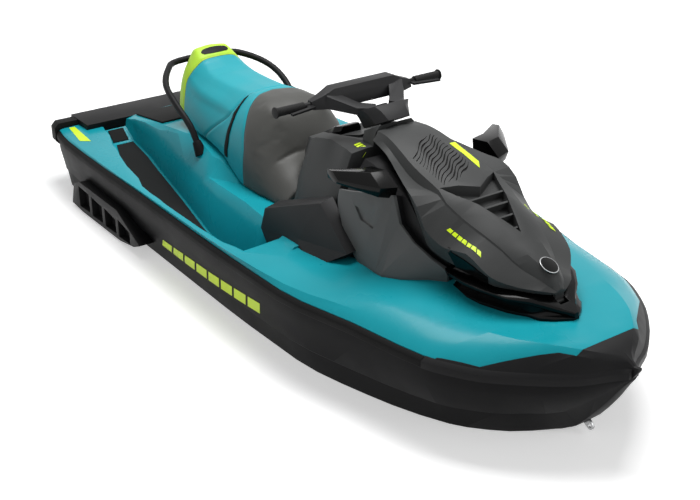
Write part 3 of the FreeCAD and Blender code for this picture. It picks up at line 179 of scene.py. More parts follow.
# %% Hang the lamps
def soft_box(name, place, aim, width, depth, power):
    """A rectangular lamp that looks at a point. Power is in watts."""
    data = bpy.data.lights.new(name, "AREA")
    data.shape = "RECTANGLE"
    data.size = width
    data.size_y = depth
    data.energy = power
    lamp = bpy.data.objects.new(name, data)
    bpy.context.collection.objects.link(lamp)
    lamp.location = place
    lamp.rotation_euler = (Vector(aim) - Vector(place)).to_track_quat("-Z", "Y").to_euler()


soft_box("box_above", (-0.4, 0.6, 4.6), (0, 0, 0.3), 3.6, 2.2, 262)
soft_box("box_bow", (4.6, 1.6, 2.6), (0.6, 0, 0.4), 2.6, 2.0, 40)
soft_box("box_starboard", (0.6, -4.8, 2.2), (0, 0, 0.3), 3.6, 1.6, 22)

# %% [markdown]
# ## Finishes
# Almost all of the craft is moulded. A moulded finish needs a base colour that drifts a little, a
# roughness that drifts with it, and a fine grain from the mould. One recipe makes them all, and each
# finish then gets its own numbers and its name.

# %% A recipe for moulded finishes
cloud_span = (0.3, 0.7)


def end_finish(finish, colour, roughness, normal, **shader):
    """Links the shader and the output. The other numbers are set on the shader's own sockets."""
    tree = finish.node_tree
    skin = add(tree, "BsdfPrincipled", {"Base Color": colour, "Roughness": roughness, "Normal": normal})
    for socket, value in shader.items():
        skin.inputs[socket.replace("_", " ")].default_value = value
    add(tree, "OutputMaterial", {"Surface": skin.outputs[0]})
    return finish


def moulded(name, pale, deep, rough, grain, relief, drift=5.0, **shader):
    """Colour runs between two codes. Grain is the mould's texture in metres, relief its height."""
    finish, tree, where = new_finish(name)
    cloud = add(tree, "TexNoise", {"Vector": where, "Scale": drift, "Detail": 4.0, "Roughness": 0.6})
    cloud = cloud.outputs[0]
    pores = add(tree, "TexNoise", {"Vector": where, "Scale": 1 / grain, "Detail": 2.0}).outputs[0]
    bump = add(tree, "Bump", {"Height": pores, "Strength": 0.5, "Distance": relief}).outputs[0]
    colour = blend(tree, cloud, linear(deep), linear(pale))
    return end_finish(finish, colour, ramp(tree, cloud, cloud_span, rough), bump, **shader)


def satin_plastic(name, pale, deep, specular):
    """Injection-moulded plastic with a fine mould texture, which scatters every highlight."""
    return moulded(name, pale, deep, (0.42, 0.52), 0.004, 0.00015, Specular_IOR_Level=specular)


print("colour and gloss drift over the cloud's values", cloud_span)

# %% [markdown]
# ## What each finish is
# Each finish is named for the material and for how its surface was made. The comment over it says
# what that gives the eye. Real mould texture is finer than 1 mm and would not show, so it is drawn
# coarser.

# %% Gelcoat, rubber and foam
# Gelcoat is coloured resin sprayed into a polished mould. It has an even colour and broad soft gloss.
gelcoat_teal = moulded("gelcoat_teal", "#1A99A6", "#108A97", (0.24, 0.32), 0.004, 0.00002, drift=2.5,
                       Coat_Weight=0.04, Coat_Roughness=0.1, Specular_IOR_Level=0.11)
# The hull's black gelcoat is left satin, so it shows a dull sheen and no reflections.
gelcoat_black = moulded("gelcoat_black_satin", "#121213", "#0D0D0E", (0.42, 0.52), 0.004, 0.0001,
                        Specular_IOR_Level=0.06)
# Moulded rubber takes up the light, so only its rounded edges catch any.
rubber_black = moulded("moulded_rubber", "#161616", "#0E0E0E", (0.55, 0.7), 0.005, 0.0002,
                       Specular_IOR_Level=0.08)
# Embossed foam has a coarse pattern pressed into it, and looks dull and dusty.
foam_mat = moulded("embossed_foam_mat", "#242424", "#191919", (0.8, 0.9), 0.006, 0.0009,
                   Specular_IOR_Level=0.12)
print("gelcoat, rubber and foam:", len(bpy.data.materials), "materials so far")

# %% Plastics and film
# The same satin plastic comes in five tones, from the black trim to the pale side panels. The side
# panels are the hood's grey plastic painted paler, as painted light for the lamp light that their
# sideways faces miss. The paler the panel, the more its soft sheen shows.
plastic_black = satin_plastic("moulded_plastic_black", "#161617", "#0F0F10", 0.12)
dark_plastic = satin_plastic("moulded_plastic_charcoal", "#222223", "#1A1A1B", 0.16)
plastic_grey = satin_plastic("moulded_plastic_grey", "#3A3B3B", "#303131", 0.13)
hood_plastic = satin_plastic("moulded_plastic_hood", "#3A3B3B", "#303131", 0.15)
# Painted light: this paler grey stands for light on the side panels, which are the hood's grey plastic.
panel_plastic_painted_light = satin_plastic("moulded_plastic_side_panel_painted_light", "#5C5D5D", "#535454", 0.2)
# Plastic from a polished mould mirrors what is round it in sharp dark shapes.
plastic_gloss = moulded("piano_black_plastic", "#0A0A0A", "#060606", (0.12, 0.2), 0.01, 0.00002,
                        Specular_IOR_Level=0.14)
# Printed vinyl film is flat and bright, with a soft sheen.
film_lime = moulded("printed_film_lime", "#D2EE1C", "#C6E316", (0.35, 0.45), 0.006, 0.00003,
                    Specular_IOR_Level=0.3)
print("plastics and film:", len(bpy.data.materials), "materials so far")

# %% Metals and glass
# Brushing leaves stainless steel bright, with a gloss that drifts along it.
steel = moulded("brushed_stainless_steel", "#C6C7C8", "#AFB0B1", (0.22, 0.34), 0.002, 0.00004,
                Metallic=1.0)
# Cast aluminium under thin paint keeps the casting's pits and a dim metal sheen.
cast_alloy = moulded("painted_cast_alloy", "#4B4C4E", "#3C3D3F", (0.4, 0.55), 0.003, 0.0003,
                     Metallic=0.6)
# Painted iron is as rough, with no metal sheen.
engine_paint = moulded("painted_iron", "#6A6B6C", "#57585A", (0.45, 0.6), 0.003, 0.0003)
# Silvered glass is almost a perfect mirror.
mirror_glass = moulded("silvered_mirror_glass", "#D9DCDD", "#CFD3D4", (0.02, 0.04), 0.02, 0.00001,
                       Metallic=1.0)
# The display's cover glass is smooth over a grey screen, so it reflects the white studio sharply.
screen_glass = moulded("display_cover_glass", "#70767A", "#4A4F52", (0.06, 0.1), 0.02, 0.00001,
                       Coat_Weight=0.6, Coat_Roughness=0.05)
print("metals and glass:", len(bpy.data.materials), "materials so far")

# %% [markdown]
# ## Rings on the grips
# The grips have fine rings 6 mm apart. They are regular, so a sine of the place along the grip draws
# them, a bump sinks them, and the grooves between them are painted near black as shade. They are too
# fine for the mesh to be worth cutting.

# %% Make the ringed rubber
def ringed(name, pale, deep, rough, pitch, depth, specular):
    """Rings round a part that runs across the craft, with painted shade in the grooves between them."""
    finish, tree, where = new_finish(name)
    cloud = add(tree, "TexNoise", {"Vector": where, "Scale": 5.0, "Detail": 4.0}).outputs[0]
    across = add(tree, "SeparateXYZ", {0: where}).outputs["Y"]
    turns = add(tree, "Math", {0: across, 1: 2 * math.pi / pitch}, operation="MULTIPLY").outputs[0]
    groove = ramp(tree, add(tree, "Math", {0: turns}, operation="SINE").outputs[0], (0.35, 0.8))
    # Painted shade: the colour goes near black in the grooves between the rings.
    colour = blend(tree, groove, blend(tree, cloud, linear(deep), linear(pale)), linear("#0B0B0B"))
    raised = add(tree, "Math", {0: 1.0, 1: groove}, operation="SUBTRACT").outputs[0]
    bump = add(tree, "Bump", {"Height": raised, "Strength": 0.9, "Distance": depth}).outputs[0]
    gloss = ramp(tree, cloud, cloud_span, rough)
    return end_finish(finish, colour, gloss, bump, Specular_IOR_Level=specular)


ring_pitch = 0.006
# Soft rubber with moulded rings is dull. The dark between its rings is painted shade.
grip_rubber = ringed("ringed_grip_rubber", "#181818", "#101010", rough=(0.6, 0.7), pitch=ring_pitch,
                     depth=0.0012, specular=0.2)
print("rings every", round(1000 * ring_pitch), "mm")

# %% [markdown]
# ## Which part has which finish
# The record names a material slot for each part. A finish is picked by the slot, and a few parts
# differ in shade from the others of their slot.

# %% Pick the finishes
slot_of = {part["node"]: part["material_slot"] for part in frame["record"]["subparts"]}
slot_finishes = {
    "hull_black": gelcoat_black,
    "deck_teal": gelcoat_teal,
    "rubber_black": rubber_black,
    "trim_black": plastic_black,
    "engine_grey": engine_paint,
    "pump_metal": cast_alloy,
    "foam_black": foam_mat,
    "panel_grey": plastic_grey,
    "gloss_black": plastic_gloss,
    "steel": steel,
}
own_finishes = {
    "hood": hood_plastic,
    "grips": grip_rubber,
    "speaker_starboard": dark_plastic,
    "speaker_port": dark_plastic,
    "bar_cover": dark_plastic,
    # The side panels get the grey plastic painted paler, as painted light.
    "side_panel_starboard": panel_plastic_painted_light,
    "side_panel_port": panel_plastic_painted_light,
}
print(len(slot_finishes), "finishes by slot and", len(own_finishes), "parts with their own")

# %% [markdown]
# ## Rounding the moulded shells
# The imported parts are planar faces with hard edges. A real moulding has no hard edge: each crease is
# a small radius. A copy of each part is merged, its flat triangles are joined into faces, and a bevel
# rounds the creases. Smooth shading then carries the light over the shallow angles between faces.
# Bevelling is chosen over subdivision, because it leaves the flat faces and the measured places
# alone.

# %% Select, merge and apply
shell_crease = math.radians(38)
merge_distance = 0.00005
flat_angle = math.radians(0.7)


def only(*objects):
    """Selects these objects and nothing else."""
    bpy.ops.object.select_all(action="DESELECT")
    for obj in objects:
        obj.select_set(True)
    bpy.context.view_layer.objects.active = objects[0]


def apply_modifier(piece, kind, **settings):
    """Adds a modifier to the active piece, sets it and applies it."""
    modifier = piece.modifiers.new(kind.lower(), kind)
    for name, value in settings.items():
        setattr(modifier, name, value)
    bpy.ops.object.modifier_apply(modifier=modifier.name)


def merged_copy(node, name, join_flats=False):
    """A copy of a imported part, its double corners merged and its flat triangles joined if asked."""
    piece = bpy.data.objects.new(name, frame["nodes"][node].data.copy())
    bpy.context.collection.objects.link(piece)
    only(piece)
    if piece.data.has_custom_normals:
        bpy.ops.mesh.customdata_custom_splitnormals_clear()
    bpy.ops.object.mode_set(mode="EDIT")
    bpy.ops.mesh.select_all(action="SELECT")
    bpy.ops.mesh.remove_doubles(threshold=merge_distance)
    if join_flats:
        bpy.ops.mesh.dissolve_limited(angle_limit=flat_angle)
    bpy.ops.object.mode_set(mode="OBJECT")
    return piece


print("corners closer than", 1000 * merge_distance, "mm are merged")

# %% A rounded copy of a part
shell_sharp, rod_sharp = 26, 50
# The flat faces of each part before its bevel, as area, normal and corners.
flats = {}


def rounded_copy(node, radius, sharp=shell_sharp, segments=3):
    """A part with its creases rounded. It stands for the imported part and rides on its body."""
    piece = merged_copy(node, "moulded_" + node, join_flats=True)
    corner = piece.data.vertices
    flats[node] = [(face.area, face.normal.copy(), [corner[v].co.copy() for v in face.vertices])
                   for face in piece.data.polygons]
    apply_modifier(piece, "BEVEL", limit_method="ANGLE", angle_limit=math.radians(sharp), width=radius,
                   segments=segments, miter_outer="MITER_ARC")
    bpy.ops.object.shade_smooth_by_angle(angle=shell_crease)
    piece.data.materials.clear()
    piece.data.materials.append(own_finishes.get(node) or slot_finishes[slot_of[node]])
    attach(piece, body_of[node])
    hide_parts(node)
    return piece


print("edges sharper than", shell_sharp, "degrees are rounded on shells, and", rod_sharp, "on rods")

# %% Round the shells and the rods
shell_radii = {
    "hull": 0.008, "deck": 0.006, "bow_cap": 0.006, "bumper_rail": 0.005, "stern_bumper": 0.008,
    "rear_platform": 0.004, "rear_pad": 0.003, "console": 0.008, "side_panel_starboard": 0.003,
    "side_panel_port": 0.003, "front_frame": 0.004, "nose_trim": 0.003, "hood": 0.006,
    "mirror_starboard": 0.006, "mirror_port": 0.006, "speaker_starboard": 0.006, "speaker_port": 0.006,
    "bar_cover": 0.005, "sponson_starboard": 0.004, "sponson_port": 0.004, "gauge_pod": 0.004,
    "glovebox_lid": 0.002, "footwell_pad": 0.002, "ride_plate": 0.003,
}
rod_radii = {
    "grab_handle": 0.002, "boarding_step": 0.001, "handlebar": 0.001, "grips": 0.002, "levers": 0.001,
    "steering_stem": 0.001, "bow_eye": 0.001, "stern_eyes": 0.001, "step_lugs": 0.001,
    "intake_grate": 0.001,
}
moulded_parts = {node: rounded_copy(node, radius) for node, radius in shell_radii.items()}
for node, radius in rod_radii.items():
    moulded_parts[node] = rounded_copy(node, radius, sharp=rod_sharp, segments=2)
for node, obj in frame["nodes"].items():
    if node not in moulded_parts and node not in ("seat", "seat_cap"):
        obj.data.materials.clear()
        obj.data.materials.append(slot_finishes[slot_of[node]])
print({node: len(piece.data.polygons) for node, piece in moulded_parts.items()})

# %% [markdown]
# ## Grooves in the hood
# The hood's flat top has a patch of shallow wavy grooves that run crosswise. A bump would look right
# from above but leave the mesh flat, so each groove is cut from the moulding by a thin strip. The strip
# follows the hood's surface and narrows towards its ends. Its faces carry the black rubber finish, so
# the groove's walls and floor are painted black as shade in the grooves.

# %% Shape a groove's cutter
patch_rear, patch_front = 0.535, 0.803
patch_starboard, patch_port, patch_centre = -0.104, 0.06, -0.02
lean = 0.7
groove_half, groove_depth = 0.0042, 0.0035
above_hood = 1.2


def search_tree(piece):
    """A tree that finds the nearest point of a mesh, or where a ray meets it."""
    corners = [v.co for v in piece.data.vertices]
    return BVHTree.FromPolygons(corners, [list(f.vertices) for f in piece.data.polygons])


def named_grid(name, columns, rows):
    """A flat square grid whose points run from -1 to 1 both ways."""
    bpy.ops.object.select_all(action="DESELECT")
    bpy.ops.mesh.primitive_grid_add(x_subdivisions=columns, y_subdivisions=rows, size=2)
    piece = bpy.context.active_object
    piece.name = name
    return piece


def groove_strip(middle, tree):
    """A closed strip across the hood, its lower face under the surface. Its width and course waver."""
    start = max(patch_starboard, patch_centre - (patch_front - middle) / lean)
    end = min(patch_port, patch_centre + (middle - patch_rear) / lean)
    strip = named_grid("groove_cutter", 2, 30)
    for point in strip.data.vertices:
        share = (point.co.y + 1) / 2
        y = start + (end - start) * share
        taper = math.sin(math.pi * (0.05 + 0.9 * share)) ** 0.6
        width = groove_half * taper * (0.8 + 0.3 * math.sin(90 * y + 40 * middle))
        bend = 0.005 * math.sin(70 * y + 23 * middle)
        x = middle - lean * (y - patch_centre) + bend + width * point.co.x
        surface = tree.ray_cast(Vector((x, y, above_hood)), Vector((0, 0, -1)))[0]
        point.co = (x, y, surface.z - groove_depth)
    strip.data.materials.append(hood_plastic)
    # Painted shade: the strip's faces carry the black rubber, which the cut leaves on the groove's
    # walls and floor in place of the hood's own plastic.
    strip.data.materials.append(rubber_black)
    for face in strip.data.polygons:
        face.material_index = 1
    apply_modifier(strip, "SOLIDIFY", thickness=0.02, offset=1.0)
    return strip


print("the patch is", round(1000 * (patch_front - patch_rear)), "mm long")

# %% Cut the grooves
groove_count = 14
first_groove, groove_pitch = 0.566, 0.0175
hood = moulded_parts["hood"]
# The hood gets a black rubber slot for the painted shade in its grooves.
hood.data.materials.append(rubber_black)
hood_tree = search_tree(hood)
strips = [groove_strip(first_groove + groove_pitch * k, hood_tree) for k in range(groove_count)]
only(*strips)
bpy.ops.object.join()
only(hood)
apply_modifier(hood, "BOOLEAN", operation="DIFFERENCE", solver="EXACT", object=strips[0])
bpy.data.objects.remove(strips[0])
bpy.ops.object.shade_smooth_by_angle(angle=shell_crease)
print("hood faces with its grooves:", len(hood.data.polygons))

# %% [markdown]
# ## The seat
# The seat is a vinyl cover over foam. Its foam is fuller between the seams than the hard form below
# it, so the two seat solids are joined and remeshed evenly, to be inflated a little as cloth.

# %% Join and remesh the seat
seat_cover = merged_copy("seat", "form_seat")
seat_rear = merged_copy("seat_cap", "form_seat_cap")
only(seat_cover)
apply_modifier(seat_cover, "BOOLEAN", operation="UNION", solver="EXACT", object=seat_rear)
bpy.data.objects.remove(seat_rear)
apply_modifier(seat_cover, "REMESH", mode="VOXEL", voxel_size=0.009)
seat_cover.name = "upholstered_seat"
print("seat mesh:", len(seat_cover.data.vertices), "points")

# %% [markdown]
# ## Inflating the foam
# Cloth with inner pressure swells like foam under a cover. Points that face down or touch the deck
# are pinned by a vertex group. Each other point then moves only as far as its cap, and less where the
# deck or the console is near, so that the cover never enters them.

# %% Measure the seat's surroundings
cloth_frames = 20
down_facing = -0.2
touching, clearance = 0.008, 0.004


def points_of(mesh):
    """The places of a mesh's points, a row each."""
    flat = numpy.empty(len(mesh.vertices) * 3)
    mesh.vertices.foreach_get("co", flat)
    return flat.reshape(-1, 3)


def normals_of(mesh):
    """The normals of a mesh's points, a row each."""
    return numpy.array([v.normal[:] for v in mesh.vertices])


def neighbours_tree(*nodes):
    """One search tree of the hard parts beside the seat."""
    corners = []
    faces = []
    for node in nodes:
        mesh = frame["nodes"][node].data
        start = len(corners)
        corners += [v.co.copy() for v in mesh.vertices]
        faces += [[start + v for v in face.vertices] for face in mesh.polygons]
    return BVHTree.FromPolygons(corners, faces)


hard = neighbours_tree("deck", "console")
room = numpy.array([hard.find_nearest(Vector(p))[3] for p in points_of(seat_cover.data)])
print("points that touch the deck or the console:", int((room < touching).sum()))

# %% Swell the seat and cap the movement
def inflate(obj, pressure, resting):
    """Runs the obj as cloth with inner pressure. The resting points are pinned."""
    held = obj.vertex_groups.new(name="resting")
    held.add([int(k) for k in numpy.nonzero(resting)[0]], 1.0, "REPLACE")
    only(obj)
    cloth = obj.modifiers.new("foam", "CLOTH")
    cloth.settings.quality = 4
    cloth.settings.use_pressure = True
    cloth.settings.uniform_pressure_force = pressure
    cloth.settings.vertex_group_mass = held.name
    cloth.settings.effector_weights.gravity = 0
    cloth.collision_settings.use_self_collision = False
    cloth.point_cache.frame_start = 1
    cloth.point_cache.frame_end = cloth_frames
    for frame_number in range(1, cloth_frames + 1):
        bpy.context.scene.frame_set(frame_number)
    bpy.ops.object.modifier_apply(modifier=cloth.name)
    bpy.context.scene.frame_set(1)
    obj.vertex_groups.clear()


def swell(obj, cap, pressure):
    """Inflates, then holds each point to its cap."""
    rest = points_of(obj.data).copy()
    inflate(obj, pressure, (normals_of(obj.data)[:, 2] < down_facing) | (room < touching))
    moved = points_of(obj.data) - rest
    length = numpy.linalg.norm(moved, axis=1)
    limit = numpy.minimum(cap, numpy.maximum(room - clearance, 0))
    share = numpy.minimum(1, limit / numpy.maximum(length, 1e-9))
    placed = rest + moved * share[:, None]
    obj.data.vertices.foreach_set("co", placed.ravel())
    obj.data.update()
    return float(length.max()), float((length * share).max())


swelled = swell(seat_cover, cap=0.009, pressure=4.0)
only(seat_cover)
apply_modifier(seat_cover, "SMOOTH", factor=0.5, iterations=6)
apply_modifier(seat_cover, "SUBSURF", levels=1, render_levels=1)
print("largest wish and largest move in mm:", [round(1000 * v, 1) for v in swelled])

# %% [markdown]
# ## Seams and colour areas
# Every seam crosses the seat from one side over the top to the other. A seam is then one curve: its
# place along the craft for each angle round the seat. The distance to each seam is kept on the points
# as an attribute. The mesh sinks along it, and the material changes colour at it.

# %% Measure the distance to each seam
seat_axis_height = 0.45
mean_radius = 0.22
seams = {
    "front_panel": [(0, -0.352), (12, -0.352), (36, -0.385), (52, -0.425), (62, -0.442), (73, -0.465),
                    (90, -0.478)],
    "passenger": [(0, -0.712), (9, -0.669), (18, -0.625), (31, -0.560), (40, -0.532), (49, -0.528),
                  (62, -0.524), (90, -0.515)],
    "rear_panel": [(0, -0.950), (30, -0.955), (47, -0.975), (55, -0.966), (64, -0.953), (73, -0.946),
                   (90, -0.942)],
}
seam_depths = {"front_panel": 0.003, "passenger": 0.005, "rear_panel": 0.004}
seam_width = 0.007


def seam_gap(points, seam):
    """Signed distance from each point to a seam, positive towards the bow."""
    turn = numpy.degrees(numpy.arctan2(points[:, 2] - seat_axis_height, numpy.abs(points[:, 1])))
    table = numpy.array(seams[seam])
    fine = numpy.linspace(0, 90, 181)
    line = numpy.interp(fine, table[:, 0], table[:, 1])
    line = numpy.convolve(numpy.pad(line, 8, mode="edge"), numpy.ones(17) / 17, mode="valid")
    slope = numpy.gradient(line, numpy.radians(fine) * mean_radius)
    along = points[:, 0] - numpy.interp(turn, fine, line)
    return along / numpy.sqrt(1 + numpy.interp(turn, fine, slope) ** 2)


places = points_of(seat_cover.data)
normals = normals_of(seat_cover.data)
sunk = numpy.zeros(len(places))
for seam, depth in seam_depths.items():
    gap = seam_gap(places, seam)
    kept = seat_cover.data.attributes.new(seam, "FLOAT", "POINT")
    kept.data.foreach_set("value", gap.astype(numpy.float32))
    sunk += depth * numpy.exp(-(gap / seam_width) ** 2)
    print(seam, "crosses", int((numpy.abs(gap) < 0.004).sum()), "points")
sunk[normals[:, 2] < down_facing] = 0
seat_cover.data.vertices.foreach_set("co", (places - normals * sunk[:, None]).ravel())
seat_cover.data.update()
only(seat_cover)
bpy.ops.object.shade_smooth()

# %% [markdown]
# ## Marine vinyl
# The cover is vinyl with a fine leather grain, sewn from a dark grey front, a teal middle and a lime
# rear. One material holds all three, because they are one sewn cover with one grain and one sheen.
# The soft sheen shows the foam's curves, and dark thread marks the seams.

# %% Make the vinyl
def vinyl_cover():
    """Three colours that meet at the seams, dark thread along them, and a fine leather grain."""
    finish, tree, where = new_finish("grained_marine_vinyl")
    cloud = add(tree, "TexNoise", {"Vector": where, "Scale": 6.0, "Detail": 4.0}).outputs[0]

    def tone(deep, pale):
        return blend(tree, cloud, linear(deep), linear(pale))

    def seam_value(seam):
        return add(tree, "Attribute", attribute_name=seam).outputs["Fac"]

    def ahead_of(seam):
        return ramp(tree, seam_value(seam), (-0.0006, 0.0006))

    cover = blend(tree, ahead_of("rear_panel"), tone("#A3CC35", "#B4DB45"), tone("#178C98", "#2098A4"))
    cover = blend(tree, ahead_of("front_panel"), cover, tone("#3B3B39", "#484845"))
    for seam in seams:
        away = add(tree, "Math", {0: seam_value(seam)}, operation="ABSOLUTE").outputs[0]
        thread = ramp(tree, away, (0.0008, 0.0022), (0.75, 0.0))
        cover = blend(tree, thread, cover, linear("#151516"))
    # Grain cells of 3 mm are coarser than real grain, which would be too fine to show.
    grain = add(tree, "TexVoronoi", {"Vector": where, "Scale": 330.0}).outputs["Distance"]
    bump = add(tree, "Bump", {"Height": grain, "Strength": 0.35, "Distance": 0.0004}).outputs[0]
    rough = ramp(tree, cloud, cloud_span, (0.42, 0.54))
    return end_finish(finish, cover, rough, bump, Specular_IOR_Level=0.28)


seat_cover.data.materials.clear()
seat_cover.data.materials.append(vinyl_cover())
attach(seat_cover, "seat")
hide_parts("seat", "seat_cap")
print("seat faces:", len(seat_cover.data.polygons))

# %% [markdown]
# ## Thin pieces laid on a curved skin
# Printed bars, lenses and plates lie on the mouldings. Each starts as a grid between four corners
# that is drawn onto the moulding below by Shrinkwrap, and Solidify then gives it its thickness.

# %% Helpers for thin pieces
thin_crease = math.radians(40)
film_lift, film_thick = 0.0006, 0.0008


def draw_onto(piece, below, lift):
    """Moves each point to the nearest place on the surface below, and lifts it a little."""
    apply_modifier(piece, "SHRINKWRAP", target=below, wrap_method="NEAREST_SURFACEPOINT",
                   wrap_mode="ABOVE_SURFACE", offset=lift)


def dress(piece, finish, body):
    """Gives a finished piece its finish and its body."""
    piece.data.materials.append(finish)
    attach(piece, body)
    return piece


def other_side(corners):
    """The same corners on the port side."""
    return [(x, -y, z) for x, y, z in corners]


print("thin pieces keep creases over", round(math.degrees(thin_crease)), "degrees")

# %% Lay a thin piece on a moulding
def laid_on(name, corners, below, finish, body, cells=(16, 6), lift=film_lift, thick=film_thick,
            rounding=0.0):
    """A thin piece between four corners, in order round its edge. Rounding 1 makes it an oval."""
    corners = [Vector(c) for c in corners]
    piece = named_grid(name, *cells)
    for point in piece.data.vertices:
        u, v = point.co.x, point.co.y
        s = (u * math.sqrt(1 - rounding * v * v / 2) + 1) / 2
        t = (v * math.sqrt(1 - rounding * u * u / 2) + 1) / 2
        point.co = corners[0].lerp(corners[1], s).lerp(corners[3].lerp(corners[2], s), t)
    draw_onto(piece, below, lift)
    middle = piece.data.polygons[len(piece.data.polygons) // 2]
    if middle.normal.dot(search_tree(below).find_nearest(middle.center)[1]) < 0:
        piece.data.flip_normals()
    apply_modifier(piece, "SOLIDIFY", thickness=thick, offset=1.0)
    bpy.ops.object.shade_smooth_by_angle(angle=thin_crease)
    return dress(piece, finish, body)


print("film stands", round(1000 * (film_lift + film_thick), 1), "mm off the skin below")

# %% [markdown]
# ## Lime bars
# The hull's side carries a row of plain lime bars of printed film, and the hood's side a shorter one.
# An image could show them, but meshes keep their edges sharp from near and need no unwrapping. Each
# row is cut from the strip between two lines of measured points.

# %% A row of bars
def place_on(line, share):
    """The point at a share of a line of corners."""
    whole = share * (len(line) - 1)
    k = min(int(whole), len(line) - 2)
    return Vector(line[k]).lerp(Vector(line[k + 1]), whole - k)


def row_of_bars(name, upper, lower, below, body, count, gap, cells=(6, 4)):
    """Bars on both sides, between an upper and a lower line of corners."""
    made = []
    for side, side_name in ((1, "starboard"), (-1, "port")):
        for k in range(count):
            start, end = k / count, (k + 1 - gap) / count
            corners = [place_on(lower, start), place_on(lower, end), place_on(upper, end),
                       place_on(upper, start)]
            corners = [(c.x, side * c.y, c.z) for c in corners]
            bar_name = "%s_%s_%d" % (name, side_name, k)
            made.append(laid_on(bar_name, corners, below, film_lime, body, cells=cells))
    return made


print("the middle of a line from 0 to 1 is", place_on([(0, 0, 0), (1, 0, 0)], 0.5).x)

# %% Lay the bars
hull_upper = [(-0.444, -0.594, 0.144), (-0.036, -0.603, 0.168), (0.372, -0.607, 0.199)]
hull_lower = [(-0.486, -0.574, 0.096), (-0.072, -0.580, 0.110), (0.340, -0.590, 0.136)]
hull_bars = row_of_bars("hull_bar", hull_upper, hull_lower, moulded_parts["hull"], "hull",
                        count=8, gap=0.16)
hood_upper = [(0.918, -0.172, 0.606), (1.072, -0.160, 0.571)]
hood_lower = [(0.911, -0.180, 0.596), (1.086, -0.172, 0.556)]
hood_bars = row_of_bars("hood_bar", hood_upper, hood_lower, hood, "hood",
                        count=7, gap=0.2, cells=(4, 3))
laid_on("hood_top_bar", [(0.594, 0.116, 0.754), (0.732, 0.115, 0.725), (0.779, 0.078, 0.725),
                         (0.604, 0.082, 0.763)], hood, film_lime, "hood")
stern_corners = [(-1.548, -0.515, 0.30), (-1.34, -0.552, 0.30), (-1.30, -0.512, 0.30),
                 (-1.545, -0.487, 0.30)]
for side, corners in (("starboard", stern_corners), ("port", other_side(stern_corners))):
    laid_on("stern_bar_" + side, corners, moulded_parts["deck"], film_lime, "hull",
            cells=(20, 6))
print(len(hull_bars), "hull bars,", len(hood_bars), "hood bars, one on top and two at the stern")

# %% [markdown]
# ## Marks on the console
# Two short rows of lime dashes lie on the console beside the neck, so the row of bars serves again.

# %% Lay the console's dashes
dash_upper = [(0.330, -0.126, 0.716), (0.376, -0.130, 0.716)]
dash_lower = [(0.330, -0.150, 0.690), (0.376, -0.156, 0.690)]
console_marks = row_of_bars("console_mark", dash_upper, dash_lower, moulded_parts["console"], "hull",
                            count=3, gap=0.3, cells=(3, 3))
print(len(console_marks), "dashes")

# %% [markdown]
# ## Strap and plate of the seat
# A black strap crosses each side of the seat between rider and passenger and tapers to a point on
# top. It starts outside the cover, on a circle round the seat, and Shrinkwrap draws it in. The plate
# on the lime part is left blank.

# %% Lay the strap and the plate
def strap(side, side_name):
    """A strap round the seat's side, from low on the side up to a point on top."""
    low, high = math.radians(-6), math.radians(64)
    half_width, taper = 0.013, 0.9
    root, arch, slant = -0.508, 0.012, 0.006
    outside = 0.30
    piece = named_grid("grab_strap_" + side_name, 24, 2)
    for point in piece.data.vertices:
        share = (point.co.x + 1) / 2
        turn = low + (high - low) * share
        half = half_width * (1 - taper * share ** 2.2)
        x = root + arch * math.sin(math.pi * share) - slant * share + half * point.co.y
        point.co = (x, side * outside * math.cos(turn), seat_axis_height + outside * math.sin(turn))
    draw_onto(piece, seat_cover, 0.001)
    if piece.data.polygons[len(piece.data.polygons) // 3].normal.y * side < 0:
        piece.data.flip_normals()
    apply_modifier(piece, "SOLIDIFY", thickness=0.003, offset=1.0)
    apply_modifier(piece, "BEVEL", width=0.001, segments=2)
    bpy.ops.object.shade_smooth_by_angle(angle=thin_crease)
    return dress(piece, rubber_black, "seat")


straps = [strap(-1, "starboard"), strap(1, "port")]
laid_on("blank_seat_plate", [(-0.996, -0.068, 0.742), (-0.996, 0.068, 0.742), (-0.966, 0.068, 0.722),
                             (-0.966, -0.068, 0.722)],
        seat_cover, plastic_black, "seat", lift=0.001, thick=0.0015, rounding=0.7)
print("strap faces:", [len(s.data.polygons) for s in straps])

# %% [markdown]
# ## Glass
# The mirrors and the display are flat glass in a housing. Each plate copies the largest flat face
# that the housing turns the right way, a little smaller, so that it fits without measuring.

# %% Lay the glass
glass_lift, glass_thick, glass_edge = 0.0002, 0.0015, 0.0008


def face_plate(name, node, toward, share, finish):
    """A plate over the largest flat face of a part that looks a given way."""
    toward = Vector(toward).normalized()
    area, normal, ring = max((f for f in flats[node] if f[1].dot(toward) > 0.9), key=lambda f: f[0])
    centre = sum(ring, Vector()) / len(ring)
    bpy.ops.object.select_all(action="DESELECT")
    bpy.ops.mesh.primitive_circle_add(vertices=len(ring), radius=0.05, fill_type="NGON")
    piece = bpy.context.active_object
    piece.name = name
    for point, corner in zip(piece.data.vertices, ring):
        point.co = centre + (corner - centre) * share + normal * glass_lift
    piece.data.update()
    if piece.data.polygons[0].normal.dot(normal) < 0:
        piece.data.flip_normals()
    apply_modifier(piece, "SOLIDIFY", thickness=glass_thick, offset=1.0)
    apply_modifier(piece, "BEVEL", width=glass_edge, segments=2)
    print(name, "covers", round(area * 1e4), "cm2 face")
    return dress(piece, finish, "hull")


for side in ("starboard", "port"):
    face_plate("mirror_glass_" + side, "mirror_" + side, (-1, 0, 0.1), 0.86, mirror_glass)
face_plate("display_glass", "gauge_pod", (-0.5, 0, 1), 0.88, screen_glass)

# %% [markdown]
# ## Turned fittings
# The disc on the nose is a plain one in a thin bright ring. A rubber boot closes each of the grab
# handle's feet against the deck. Both are round, so they start as a cylinder or a cone, get rounded
# edges, and are turned to their place.

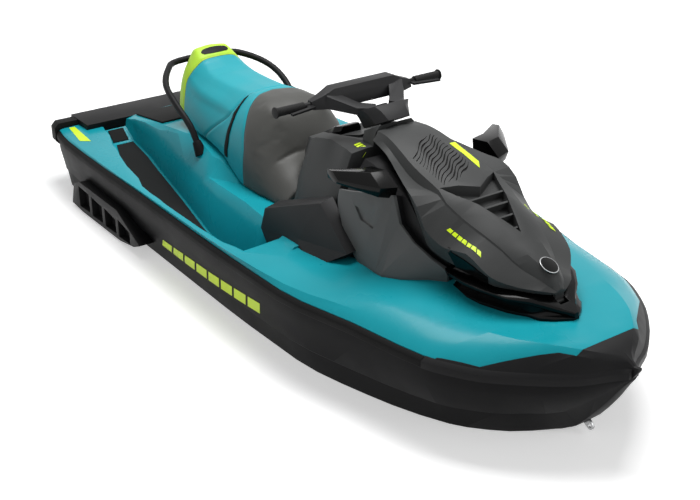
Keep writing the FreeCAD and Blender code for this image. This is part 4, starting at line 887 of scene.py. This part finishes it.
# %% Set the nose disc
def turned_piece(name, placed, width, finish, body):
    """Names the round piece just added, rounds its edges and moves its mesh into place."""
    piece = bpy.context.active_object
    piece.name = name
    apply_modifier(piece, "BEVEL", limit_method="ANGLE", width=width, segments=3)
    piece.data.transform(placed)
    bpy.ops.object.shade_smooth_by_angle(angle=thin_crease)
    return dress(piece, finish, body)


def disc_on(place, radius, rim, sunk_in):
    """A disc with a ring round it, square to the skin that it sits on."""
    spot, normal = search_tree(hood).find_nearest(Vector(place))[:2]
    turn = normal.to_track_quat("Z", "Y").to_matrix().to_4x4()
    for part, outer, height, finish in (("face", radius - rim, 0.003, plastic_gloss),
                                        ("ring", radius, 0.0022, steel)):
        bpy.ops.object.select_all(action="DESELECT")
        bpy.ops.mesh.primitive_cylinder_add(vertices=64, radius=outer, depth=height)
        placed = Matrix.Translation(spot) @ turn @ Matrix.Translation((0, 0, height / 2 - sunk_in))
        turned_piece("nose_disc_" + part, placed, 0.0007, finish, "hood")
    return spot


nose_spot = disc_on((1.231, 0.0, 0.542), radius=0.036, rim=0.003, sunk_in=0.0008)
print("disc at", [round(v, 3) for v in nose_spot])

# %% Set the handle's boots
boot_foot, boot_top, boot_height = 0.030, 0.019, 0.065
for side, side_name in ((-1, "starboard"), (1, "port")):
    foot = Vector((-0.690, side * 0.264, 0.408))
    along = Vector((-0.050, side * 0.012, 0.092)).normalized()
    bpy.ops.object.select_all(action="DESELECT")
    bpy.ops.mesh.primitive_cone_add(vertices=40, radius1=boot_foot, radius2=boot_top, depth=boot_height)
    placed = Matrix.Translation(foot) @ along.to_track_quat("Z", "Y").to_matrix().to_4x4()
    turned_piece("handle_boot_" + side_name, placed, 0.003, rubber_black, "hull")
print("a boot of", round(1000 * boot_height), "mm on each foot of the handle")

# %% [markdown]
# ## Lenses
# A smoked lens fills the recess low on each side of the hood. It is a thicker piece of the same kind
# as the bars, in the glossy plastic that mirrors the studio as a dark lens does.

# %% Lay the lenses
lens_corners = [(0.992, -0.201, 0.468), (1.122, -0.172, 0.470), (1.133, -0.183, 0.512),
                (0.955, -0.206, 0.556)]
for side, corners in (("starboard", lens_corners), ("port", other_side(lens_corners))):
    laid_on("side_lens_" + side, corners, hood, plastic_gloss, "hood", cells=(16, 8),
            lift=0.0008, thick=0.003)
print("two lenses")
